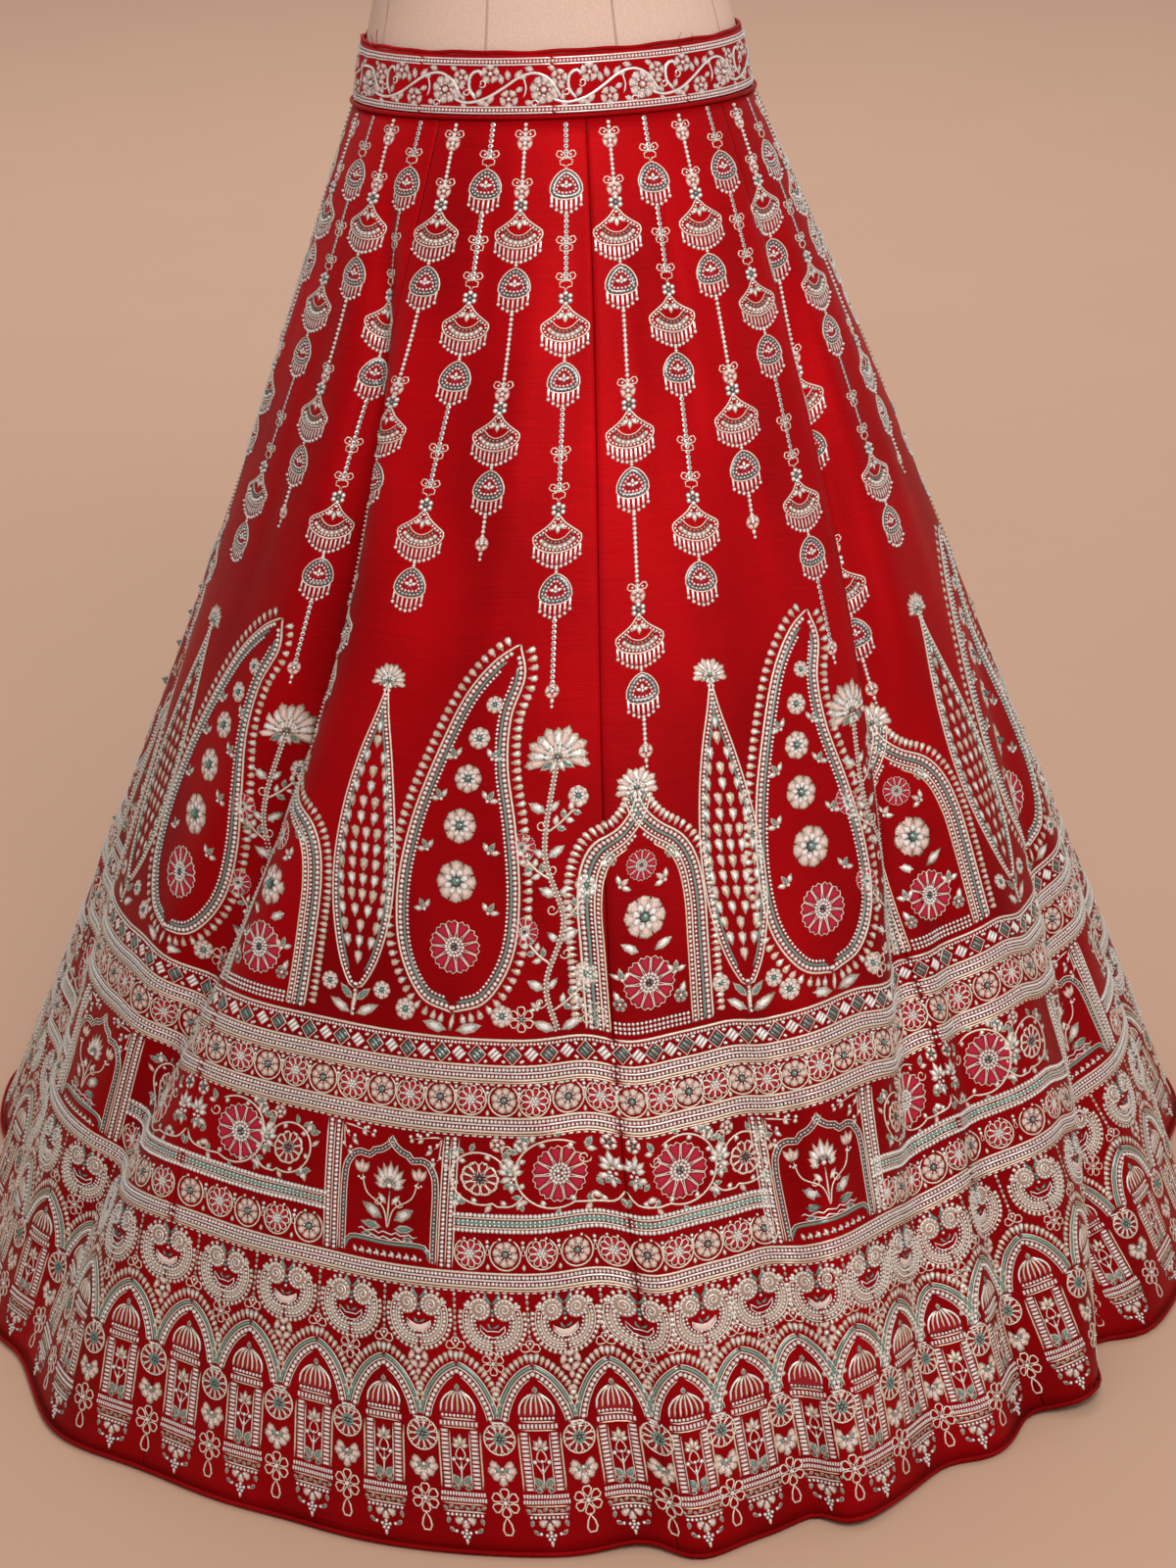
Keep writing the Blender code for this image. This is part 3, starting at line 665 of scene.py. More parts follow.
class Motif:
    """Embroidery drawn flat, in millimetres."""

    def __init__(self):
        self.points, self.faces, self.kinds, self.count = [], [], [], 0

    def add(self, points, faces, kind):
        """One shape; a fourth column tells how near each point is to the shape's top, which the threads use
        to paint shade at its edges and a highlight on top.
        """
        rise = (points[:, 2] - EDGE_SINK) / (points[:, 2].max() - EDGE_SINK)
        self.faces.append(np.asarray(faces) + self.count)
        self.points.append(np.column_stack([points, rise]))
        self.kinds.append(np.full(len(faces), KINDS.index(kind)))
        self.count += len(points)

    def arrays(self):
        return np.vstack(self.points), np.vstack(self.faces), np.concatenate(self.kinds)

    def put(self, other, x=0.0, y=0.0, degrees=0.0, scale=1.0):
        """Lays a copy of another motif in this one."""
        points, faces, kinds = other.arrays()
        flat = turned(points[:, :2] * scale, degrees) + (x, y)
        self.faces.append(faces + self.count)
        self.points.append(np.column_stack([flat, points[:, 2] * min(1, scale**0.5), points[:, 3]]))
        self.kinds.append(kinds)
        self.count += len(points)

    def pad(self, outline, kind, height=1.0, shoulder=0.0):
        """A raised filling. A shoulder keeps it nearly flat that far towards its edge."""
        outline = np.asarray(outline, float)
        x, y = outline.T
        if np.sum(x * np.roll(y, -1) - np.roll(x, -1) * y) > 0:
            outline = outline[::-1]
        n = len(outline)
        middle = outline.mean(axis=0)
        at, following = np.arange(n), (np.arange(n) + 1) % n
        rings = [np.column_stack([outline, np.full(n, EDGE_SINK)])]
        faces = []
        if shoulder:
            inner = mix(middle, outline, shoulder)
            rings.append(np.column_stack([inner, np.full(n, height * 0.8)]))
            faces += [np.column_stack([at, following, n + following])]
            faces += [np.column_stack([at, n + following, n + at])]
        last = (len(rings) - 1) * n
        top = np.full(n, len(rings) * n)
        faces.append(np.column_stack([last + at, last + following, top]))
        self.add(np.vstack(rings + [(*middle, height)]), np.vstack(faces), kind)

    def beads(self, places, radius, kind, sides=6, height=1.35):
        """Round beads at those places."""
        places = np.atleast_2d(places)
        turn = -np.linspace(0, 2 * math.pi, sides, endpoint=False)
        rim = places[:, None, :] + radius * np.stack([np.cos(turn), np.sin(turn)], axis=-1)
        rim = np.concatenate([rim, np.full((*rim.shape[:2], 1), 0.1 * radius)], axis=2)
        top = np.column_stack([places, np.full(len(places), height * radius)])[:, None, :]
        points = np.concatenate([rim, top], axis=1)
        at = np.arange(sides)
        one = np.column_stack([at, (at + 1) % sides, np.full(sides, sides)])
        faces = one[None] + np.arange(len(places))[:, None, None] * (sides + 1)
        self.add(points.reshape(-1, 3), faces.reshape(-1, 3), kind)

    def row(self, path, radius, kind, pitch=None, closed=False, sides=6):
        """Beads strung along a path."""
        places, _ = spaced(path, pitch or radius * 2.15, closed)
        self.beads(places, radius, kind, sides)

    def cord(self, path, kind="zari", width=1.2, height=0.9, closed=False):
        """A couched cord along a path, round on top."""
        path = np.asarray(path, float)
        sides = [moved(path, -width / 2, closed), path, moved(path, width / 2, closed)]
        tops = np.array([EDGE_SINK, height, EDGE_SINK])[:, None] * np.ones(len(path))
        if not closed:
            tops[1, [0, -1]] = EDGE_SINK
        n = len(path)
        points = np.concatenate([np.column_stack([s, t]) for s, t in zip(sides, tops)])
        at = np.arange(n if closed else n - 1)
        on = (at + 1) % n
        faces = []
        for upper, lower in ((0, n), (n, 2 * n)):
            faces.append(np.column_stack([upper + at, lower + at, lower + on]))
            faces.append(np.column_stack([upper + at, lower + on, upper + on]))
        self.add(points, np.vstack(faces), kind)

    def leaf(self, x, y, length, width, degrees, kind="silver", rim="zari", outline=LEAF_OUTLINE):
        """A leaf or petal from its stalk, with a couched rim unless rim is None."""
        shape = outline * (length, width)
        if rim:
            self.pad(turned(shape, degrees) + (x, y), rim, 0.7)
            shape = (outline * 0.72 + (0.14, 0)) * (length, width)
        self.pad(turned(shape, degrees) + (x, y), kind, 1.25)

    def loop(self, x, y, length, width, degrees, kind="zari", thick=0.9):
        """An open loop of cord."""
        path = turned(LOOP_OUTLINE * (length, width), degrees) + (x, y)
        self.cord(path, kind, thick, 0.7, closed=True)

    def flower(
        self, x, y, radius, petals, kind="silver", heart="teal", rim="zari", start=0.0, core=0.3, plump=0.8
    ):
        """Petals round a bead. Plump is how full the ring of petals is."""
        width = 2 * math.pi * radius * plump / petals
        for k in range(petals):
            degrees = start + 360.0 * k / petals
            root = turned(np.array([(radius * core * 0.6, 0.0)]), degrees)[0] + (x, y)
            self.leaf(*root, radius * (1 - core * 0.6), width, degrees, kind, rim, PETAL_OUTLINE)
        self.beads([(x, y)], radius * core, heart)

    def daisy(self, x, y, radius, petals, heart, thick, start):
        """A flower of open loops."""
        width = 2 * math.pi * radius * 0.60 / petals
        for k in range(petals):
            degrees = start + 360.0 * k / petals
            root = turned(np.array([(radius * 0.22, 0.0)]), degrees)[0] + (x, y)
            self.loop(*root, radius * 0.78, width, degrees, "zari", thick)
        self.beads([(x, y)], radius * 0.20, heart)

    def bars(self, places, width, height, kind):
        """Upright cut tubes at those places."""
        for x, y in places:
            corners = [(-width, -height), (width, -height), (width, height), (-width, height)]
            self.pad(np.array(corners) / 2 + (x, y), kind, 1.0)

    def strands(self, reach, count, top, length, sag):
        """A fringe of hanging tubes with a bead at the end of each."""
        for x in np.linspace(-reach, reach, count):
            rise = sag * (x / reach) ** 2
            long = length - 0.3 * rise
            self.bars([(x, top - rise + long / 2)], 1.9, long, "silver")
            self.beads([(x, top - rise + long + 0.9)], 1.6, "pearl", sides=5)


class Piece:
    """One object of embroidery, laid on the skirt or the waistband."""

    def __init__(self, name, surface=on_skirt, width=panel_width):
        self.name, self.surface, self.width = name, surface, width
        self.points, self.faces, self.kinds, self.rises, self.count = [], [], [], [], 0

    def place(self, motif, turns, falls, span=None, scale=1.0, flip=False, loose=0.0):
        """Copies of a motif. Span is the millimetres taken as one turn, or None for the
        cloth's own width at each level. Loose is how unevenly they are laid, in mm."""
        points, faces, kinds = motif.arrays()
        turns, falls = np.broadcast_arrays(np.atleast_1d(turns), np.atleast_1d(falls))
        flat = points[:, :2] * ((-scale, scale) if flip else (scale, scale))
        if flip:
            faces = faces[:, ::-1]
        shift = rng.normal(0, 1, (len(turns), 2)) * loose
        x = flat[None, :, 0] + shift[:, :1]
        fall = falls[:, None] + (flat[None, :, 1] + shift[:, 1:]) / 1000
        middle = np.broadcast_to(turns[:, None], fall.shape)
        step = span / 1000 if span else self.width(middle, fall)
        turn = middle + x / 1000 / step
        height = np.broadcast_to(points[None, :, 2] / 1000, fall.shape)
        self.points.append(self.surface(turn, fall, height).reshape(-1, 3))
        starts = self.count + np.arange(len(turns)) * len(points)
        self.faces.append((faces[None] + starts[:, None, None]).reshape(-1, 3))
        self.kinds.append(np.tile(kinds, len(turns)))
        self.rises.append(np.tile(points[:, 3], len(turns)))
        self.count += len(turns) * len(points)

    def build(self):
        kinds = np.concatenate(self.kinds)
        used = np.unique(kinds)
        thing = mesh_object(
            self.name,
            np.vstack(self.points),
            np.vstack(self.faces),
            [KINDS[k] for k in used],
            np.searchsorted(used, kinds),
        )
        # The rise attribute carries painted shade: the threads are darker at each shape's edges and lighter
        # on its top.
        rise = thing.data.attributes.new("rise", "FLOAT", "POINT")
        rise.data.foreach_set("value", np.concatenate(self.rises).astype(np.float32))
        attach(thing, "root")


def fringe(m, path, pitch, length, width, lean, kinds, shrink=0.0, reach=(-math.inf, math.inf)):
    """Petals along a path, each shorter than the last by shrink, where x is within reach."""
    places, ahead = spaced(path, pitch)
    for k, ((x, y), degrees) in enumerate(zip(places, ahead)):
        if reach[0] < x < reach[1]:
            kind = kinds[k % len(kinds)]
            m.leaf(x, y, length - shrink * k, width, degrees + lean, kind, "zari", PETAL_OUTLINE)


def every(count, start=0.5):
    """The turns of that many places in each panel."""
    return (np.arange(PANELS)[:, None] + (np.arange(count) + start) / count).ravel()


# ---- Hanging strings ----


def drop_motif():
    """A pendant drop 26 mm wide and 35 mm long with a beaded rim and a fringe."""
    m = Motif()
    half = [(0, -13.5), (4.2, -11.6), (8.8, -7.2), (11.8, -1.2), (12.2, 3.4), (9.6, 7.2), (5, 8.9), (0, 9.4)]
    rim = smooth(mirrored(half), 3.4, True)
    m.strands(11.0, 7, 8.4, 9.8, 4.2)
    m.cord(rim, "zari", 1.4, 1.0, closed=True)
    band = moved(rim, 2.4, True)
    m.cord(band, "slate", 3.6, 0.6, closed=True)
    m.row(band, 1.0, "silver", 3.0, closed=True, sides=4)
    m.row(moved(rim, 5.0, True), 1.1, "pearl", 2.8, closed=True, sides=5)
    m.pad(moved(rim, 6.2, True)[::2], "wine", 0.2, 0.9)
    for degrees in (-162, -90, -18):
        m.leaf(0, -0.4, 5.6, 3.4, degrees, "pearl", None)
    for degrees in (52, 128):
        m.leaf(0, 0.2, 4.6, 2.6, degrees, "rose", None)
    m.beads([(0, 0.0)], 1.4, "silver", sides=5)
    return m


def fan_motif():
    """A bell-shaped pendant 38 mm wide and 49 mm long, with eleven strands."""
    m = Motif()
    half = [
        (0, -15.6), (2.2, -13.6), (4.6, -10.4), (8.2, -7.2), (12.8, -4.0), (17.6, -0.4),
        (17.6, 4.2), (15.2, 7.8), (9.0, 10.9), (0, 12.4),
    ]
    rim = smooth(mirrored(half), 3.0, True)
    m.strands(17.0, 11, 12.2, 9.6, 6.4)
    m.cord(rim, "zari", 1.6, 1.0, closed=True)
    m.row(moved(rim, 2.0, True), 1.15, "silver", 2.7, closed=True, sides=5)
    lower = smooth([(-13.2, 1.6), (-8.0, 6.2), (0, 8.2), (8.0, 6.2), (13.2, 1.6)], 3)
    # Gold-brown ground with painted shade between the bead rows.
    m.cord(lower, "ground_and_shade", 5.0, 0.6)
    m.row(lower, 1.75, "pearl", 3.7)
    upper = smooth([(-12.4, -2.4), (-7.0, 2.9), (0, 5.0), (7.0, 2.9), (12.4, -2.4)], 3)
    m.row(upper, 1.2, "teal", 2.9, sides=5)
    m.cord(smooth([(-10.6, -4.2), (-6.0, 0.8), (0, 2.9), (6.0, 0.8), (10.6, -4.2)], 3), "zari", 1.1, 0.8)
    for degrees in (38, 90, 142):
        m.leaf(0, -9.6, 9.2, 4.8, degrees, "pearl")
    ring = arc(0, -19.4, 3.9, -90, 210, 6)
    m.beads(ring, 2.2, "silver")
    m.beads([(0, -19.4)], 1.9, "teal")
    return m


def bow_motif():
    """A pair of loops over two curved ends, which links two lengths of chain."""
    m = Motif()
    for side in (-1, 1):
        m.loop(0, -1.5, 8.0, 5.0, -90 + side * 62, "zari", 1.3)
        lower = smooth([(0, -1), (side * 4.6, 0.6), (side * 4.4, 3.8), (side * 1.2, 4.4), (0, 7)], 3)
        m.cord(lower, "zari", 1.2)
        m.beads([(side * 3.4, -3.4)], 1.2, "silver", sides=5)
    m.beads([(0, -1.2)], 1.4, "pearl")
    return m


def clasp_motif():
    """A blush flower under two loops."""
    m = Motif()
    for side in (-1, 1):
        m.loop(0, -2.5, 8.0, 5.2, -90 + side * 66, "zari", 1.3)
        m.beads([(side * 3.8, -4.2)], 1.2, "silver", sides=5)
    m.flower(0, 2.2, 6.0, 5, "blush", "pearl", None, start=90, plump=1.0)
    m.beads([(0, -3.2)], 1.4, "pearl")
    return m


def chain_motif(length, chain):
    """Stones down a line, from its top."""
    m = Motif()
    line = [(0, 0), (0, length / 2), (0, length)]
    if chain == "teal":
        places, _ = spaced(line, 4.0)
        m.beads(places, 2.0, "silver", height=0.5)
        m.beads(places, 1.4, "slate", sides=5)
    else:
        m.cord(line, "zari", 1.8, 0.5)
        m.row(line, 1.75, "pearl", 3.6)
    return m


def end_motif():
    """The small flower at the end of a string."""
    m = Motif()
    m.flower(0, 0, 5.6, 5, "blush", "silver", None, start=-90, plump=1.0)
    m.leaf(0, 4.5, 6, 4.2, 90, "silver")
    m.beads([(0, 11.5)], 1.4, "pearl")
    return m


# Where each of a panel's four strings hangs, as a share of the panel's width, its chain,
# its pendants with their falls in mm, and the fall of its end.
STRING_COLUMNS = ("across", "chain", "pendants", "end")
WHITE_PENDANTS = (("fan", 85), ("drop", 125), ("fan", 235), ("drop", 275), ("fan", 386), ("drop", 426))
TEAL_PENDANTS = (("drop", 52), ("fan", 154), ("drop", 195), ("fan", 310), ("drop", 351))
STRINGS = (
    (0.14, "white", WHITE_PENDANTS, 470),
    (0.38, "teal", TEAL_PENDANTS, 372),
    (0.61, "white", WHITE_PENDANTS[:4], 316),
    (0.86, "teal", TEAL_PENDANTS, 424),
)
PENDANT_TOP = {"drop": 13.5, "fan": 25.0}
PENDANT_BOTTOM = {"drop": 19.5, "fan": 23.0}
STRING_TOP = 4  # mm below the waistband


def string_motif(string):
    """One whole string, its y measured from the waistband."""
    pendants = {"drop": drop_motif(), "fan": fan_motif()}
    chain = string["chain"]
    link = clasp_motif() if chain == "white" else bow_motif()
    m = Motif()
    start = STRING_TOP
    if chain == "white":
        m.put(link, 0, start + 13)
    for kind, fall in string["pendants"]:
        top = fall - PENDANT_TOP[kind]
        if top - start > 12:
            m.put(chain_motif(top - 7 - start, chain), 0, start)
            m.put(link, 0, top - 7)
            if chain == "teal" and top - start > 50:
                m.put(link, 0, top - 34)
        else:
            m.row([(0, start), (0, top)], 1.4, "pearl", 2.8)
        m.put(pendants[kind], 0, fall)
        start = fall + PENDANT_BOTTOM[kind]
    if string["end"] - start > 8:
        m.put(chain_motif(string["end"] - start, chain), 0, start)
        m.put(end_motif(), 0, string["end"])
    return m


def build_strings():
    piece = Piece("hanging_strings")
    for string in rows(STRING_COLUMNS, STRINGS):
        turns = np.arange(PANELS) + string["across"]
        piece.place(string_motif(string), turns, 0.0, loose=0.8)
    piece.build()


# ---- Bands round the skirt ----

# The rows of each band: where each lies across it in mm, what it is, its thread, its
# width or its beads' radius, and its height or its beads' pitch.
BAND_ROW_COLUMNS = ("offset", "form", "kind", "size", "other")
THIN_BAND = ((0.0, "cord", "zari", 2.4, 1.1), (2.8, "beads", "pearl", 1.2, 2.7))
WIDE_BAND = (
    (-6.6, "cord", "zari", 2.2, 1.0),
    (-4.0, "beads", "pearl", 1.5, 3.0),
    (-1.5, "cord", "silver", 1.8, 1.0),
    (1.0, "beads", "silver", 1.5, 3.0),
    (3.4, "cord", "zari", 2.2, 1.1),
    (5.4, "cord", "gold", 1.6, 0.9),
    (7.0, "sticks", "silver", 1.5, 5.6),
)
DOUBLE_BAND = (
    (-5.6, "beads", "pearl", 1.8, 3.2),
    (-3.4, "cord", "zari", 1.4, 0.9),
    (0.0, "cord", "teal", 6.0, 0.5),
    (-1.2, "beads", "silver", 1.1, 3.4),
    (1.4, "beads", "silver", 1.1, 3.4),
    (3.4, "cord", "zari", 1.4, 0.9),
    (5.6, "beads", "pearl", 1.8, 3.2),
)
NICHE_SHARE = 0.14  # half a niche's width, as a share of its panel
# Fall of each band's middle, its rows, and the share of each panel that it leaves free.
BANDS = (
    (0.6790, THIN_BAND, 0.0),
    (0.7045, WIDE_BAND, 0.0),
    (0.7425, WIDE_BAND, 0.0),
    (0.8128, DOUBLE_BAND, NICHE_SHARE),
    (0.8560, WIDE_BAND, 0.0),
)
BAND_STEPS = 60
SPAN = 1000.0  # millimetres that stand for one panel in a band's motif


def stick_motif(kind, length, width):
    m = Motif()
    half, side = length / 2, width / 2
    m.pad([(-half, -side), (half, -side), (half, side), (-half, side)], kind, 0.9)
    return m


def bead_motif(kind, radius):
    m = Motif()
    m.beads([(0, 0)], radius, kind)
    return m


def lay_cord(piece, row, start, end, steps, at):
    """One of a band's cords, from start to end of every panel or turn."""
    m = Motif()
    x = np.linspace(start, end, steps + 1) * SPAN
    m.cord(np.column_stack([x, 0 * x]), row["kind"], row["size"], row["other"])
    piece.place(m, np.arange(PANELS), at, span=SPAN)


def lay_band(piece, fall, band, free):
    """One band in every panel, in two halves where it leaves the middle free."""
    if free:
        halves = ((0.0, 0.5 - free), (0.5 + free, 1.0))
    else:
        halves = ((0.0, 1.0),)
    for row in rows(BAND_ROW_COLUMNS, band):
        at = fall + row["offset"] / 1000
        for start, end in halves:
            if row["form"] == "cord":
                lay_cord(piece, row, start, end, round(BAND_STEPS * (end - start)), at)
                continue
            one = bead_motif(row["kind"], row["size"])
            if row["form"] == "sticks":
                one = stick_motif(row["kind"], row["other"] * 0.8, row["size"])
            for panel in range(PANELS):
                width = panel_width(np.array([panel + 0.5]), np.array([at]))[0]
                count = round(width * (end - start) * 1000 / row["other"])
                turns = panel + start + (np.arange(count) + 0.5) / count * (end - start)
                piece.place(one, turns, at, loose=0.08)


def build_bands():
    piece = Piece("border_bands")
    for fall, band, free in BANDS:
        lay_band(piece, fall, band, free)
    piece.build()


# ---- Diamonds, rosettes and the flower field ----

DIAMOND_FALL = 0.6895
DIAMONDS = 24  # in each panel
ROSETTE_FALLS = (0.7228, 0.8350)
ROSETTES = 14
FIELD_FALL = 0.7775
ROSETTES_BESIDE = 5  # in the second row, on each side of a niche


def diamond_motif(dark):
    """Three cut tubes side by side, set as a diamond, in a couched rim if dark."""
    m = Motif()
    corners = np.array([(0, -7.4), (6.6, 0), (0, 7.4), (-6.6, 0)])
    if dark:
        m.cord(smooth(corners, 10.5, True), "zari", 1.3, 1.0, closed=True)
    kinds = ("slate", "teal", "slate") if dark else ("pearl",) * 3
    for i, kind in zip((-1, 0, 1), kinds):
        bar = np.array([(-4.2, -1.3), (4.2, -1.3), (4.2, 1.3), (-4.2, 1.3)]) + (0, i * 2.85)
        m.pad(turned(bar, 45 if dark else -45), kind, 1.4, 0.5)
    for side in (-1, 1):
        m.beads([(side * 6.4, -5.0), (side * 6.4, 5.0)], 1.5, "silver", sides=4)
    return m


def ring_motif():
    """The open ring round a rosette, with a bead on each side of its top."""
    m = Motif()
    m.cord(arc(0, 0, 11.6, -62, 242, 18), "zari", 1.6, 1.1)
    for side in (-1, 1):
        m.beads(arc(0, 0, 11.6, -90 + side * 20, -90 + side * 20, 1), 1.3, "silver", sides=5)
    return m


def blush_rosette():
    m = Motif()
    m.put(ring_motif())
    m.flower(0, 0, 10.4, 8, "blush", "teal", "zari", start=12, core=0.26, plump=0.98)
    m.row(arc(0, 0, 3.8, 0, 360, 13), 0.9, "silver", 2.6, sides=4)
    return m


def wheel_rosette(radius=11.4, loops=9, fill="rose", heart="pearl"):
    """A flower of open loops round a cluster of beads."""
    m = Motif()
    m.put(ring_motif())
    width = 2 * math.pi * radius * 0.60 / loops
    for k in range(loops):
        degrees = 360.0 * k / loops
        root = turned(np.array([(radius * 0.24, 0.0)]), degrees)[0]
        m.leaf(*root, radius * 0.56, width * 0.6, degrees, fill, None, PETAL_OUTLINE)
        m.loop(*root, radius * 0.66, width, degrees, "zari", 1.3)
    m.beads(arc(0, 0, radius * 0.2, 0, 300, 6), 1.35, heart, sides=5)
    m.beads([(0, 0)], 1.4, heart)
    return m


def joint_motif():
    """Two beads, a loop and a leaf between two rosettes."""
    m = Motif()
    m.beads([(0, -8.8), (0, -5.4)], 1.7, "silver", sides=5)
    m.loop(0, -4.4, 5.4, 2.6, 90, "zari", 0.8)
    m.leaf(0, 12.5, 6, 3.6, -90, "zari", None)
    return m


def roundel_motif(heart):
    """An eleven-petalled magenta flower, each petal with a couched rim."""
    m = Motif()
    petals, radius = 11, 20.5
    width = 2 * math.pi * radius * 0.84 / petals
    for k in range(petals):
        degrees = 360.0 * k / petals
        root = turned(np.array([(4.6, 0.0)]), degrees)[0]
        m.leaf(*root, radius - 5.0, width * 0.86, degrees, "rose", None, HEART_OUTLINE)
        m.cord(turned(HEART_OUTLINE * (radius - 4.6, width), degrees) + root, "zari", 1.15, 0.9, closed=True)
    m.beads(arc(0, 0, 6.9, 0, 338, 16), 1.5, "pearl", sides=5)
    m.beads(arc(0, 0, 4.2, 0, 324, 10), 1.5, "silver" if heart == "silver" else "pearl", sides=5)
    m.beads(arc(0, 0, 1.9, 0, 240, 3), 1.8, heart, sides=5)
    return m


def curl(m, x, y, size, degrees, flip=False):
    """A small curled tendril."""
    path = spiral(0, 0, size, size * 0.25, 0, 400 if flip else -400, 11)
    m.cord(turned(path - path[0], degrees) + (x, y), "zari", 1.4, 0.9)


def sprig(m, x, y, degrees):
    """Three leaves and a bead at one point, spread round a heading."""
    for k, length, kind in ((-1, 8.17, "teal"), (0, 9.5, "silver"), (1, 8.17, "teal")):
        m.leaf(x, y, length, 5.32, degrees + k * 46, kind)
    m.beads([(x, y)], 1.6, "silver", sides=5)


VINE_ROUNDEL = 0.135  # where the vine's roundel is, as a share of the panel


def vine_motif():
    """Half of the field between two niches: a vine round a roundel and a wheel.

    It starts at the seam, at x = 0, and its leaves reach x = 118, beside the niche.
    """
    m = Motif()
    round_first = np.vstack([smooth([(0, 12), (8, 21), (24, 23)], 4), arc(44, 0, 25.0, 118, -128, 30)])
    round_second = np.vstack([smooth([(64, 14), (72, 22), (82, 23)], 4), arc(92, 3, 19.0, 112, -150, 24)])
    for path in (round_first, round_second):
        m.cord(path, "zari", 1.9, 1.1)
        places, ahead = spaced(path, 10.5)
        for k, ((x, y), degrees) in enumerate(zip(places, ahead)):
            outside = k % 2 == 0
            kind = ("teal", "silver", "blush", "silver")[k % 4]
            m.leaf(x, y, 9.8 if outside else 6.6, 5.2, degrees + (52 if outside else -52), kind)
    for x, y, radius, degrees in (
        (44, 0, 26.0, 38), (44, 0, 26.0, -38), (44, 0, 26.0, 142), (92, 3, 20.0, 42), (92, 3, 20.0, -42),
        (92, 3, 20.0, -140), (44, 0, 26.0, -142), (44, 0, 26.0, 2), (44, 0, 26.0, 170), (44, 0, 26.0, -60),
    ):
        root = turned(np.array([(radius, 0.0)]), degrees)[0] + (x, y)
        m.leaf(*root, 11.5, 6.6, degrees + 22, "silver" if degrees > 0 else "teal")
        m.leaf(*root, 9.0, 5.4, degrees - 40, "teal" if degrees > 0 else "pearl")
    for x, y, degrees in ((72, -1, -90), (7, -3, -80)):
        for k, lean in enumerate((-74, -37, 0, 37, 74)):
            size = (10, 12.5, 15, 12.5, 10)[k]
            m.leaf(x, y, size, 6.4, degrees + lean, ("silver", "pearl", "silver")[k % 3])
        m.beads([(x, y), (x - 2, y + 3.4), (x + 2, y + 3.4)], 1.6, "pearl", sides=5)
    for x, y, degrees in ((72, 5, 90), (8, 3, 100), (108, 22, 250), (107, -19, 100)):
        sprig(m, x, y, degrees)
    m.put(wheel_rosette(14.0, 10, "wine", "slate"), 92, 3)
    for tendril in ((67, -9, 5.0, 200), (19, -10, 5.0, 180), (75, -14, 4.6, 60), (14, 17, 4.8, 200)):
        curl(m, *tendril)
    m.flower(8, -22, 6.0, 5, "silver", "teal", plump=0.95)
    m.flower(79, -22, 5.6, 5, "blush", "pearl", plump=0.95)
    m.flower(64, -22, 5.2, 5, "silver", "teal", plump=0.95)
    return m


def build_border_flowers():
    piece = Piece("border_flowers")
    turns = every(DIAMONDS)
    for half, dark in enumerate((True, False)):
        piece.place(diamond_motif(dark), turns[half::2], DIAMOND_FALL, loose=0.3)
    flowers = (blush_rosette(), wheel_rosette())
    turns = every(ROSETTES)
    piece.place(joint_motif(), every(ROSETTES, 0.0), ROSETTE_FALLS[0])
    for half, flower in enumerate(flowers):
        piece.place(flower, turns[half::2], ROSETTE_FALLS[0], loose=0.3)
    room = 0.5 - NICHE_SHARE
    for side in (0, 1):
        places = (np.arange(ROSETTES_BESIDE) + 0.5) / ROSETTES_BESIDE * room
        for k, place in enumerate(places):
            turns = np.arange(PANELS) + (1 - place if side else place)
            piece.place(flowers[(k + side) % 2], turns, ROSETTE_FALLS[1], loose=0.3)
            between = place + room / ROSETTES_BESIDE / 2
            if k + 1 < ROSETTES_BESIDE:
                turns = np.arange(PANELS) + (1 - between if side else between)
                piece.place(joint_motif(), turns, ROSETTE_FALLS[1])
    vine = vine_motif()
    for side, heart in ((0, "teal"), (1, "silver")):
        turns = np.arange(PANELS) + (1 if side else 0)
        piece.place(vine, turns, FIELD_FALL, flip=bool(side))
        roundel = roundel_motif(heart)
        place = np.arange(PANELS) + (1 - VINE_ROUNDEL if side else VINE_ROUNDEL)
        piece.place(roundel, place, FIELD_FALL, loose=0.5)
    piece.build()


# ---- Niches ----

NICHE_TOP_FALL = 0.7500
NICHE_HEIGHT = 98.0  # mm
NICHE_HALF = 53.0


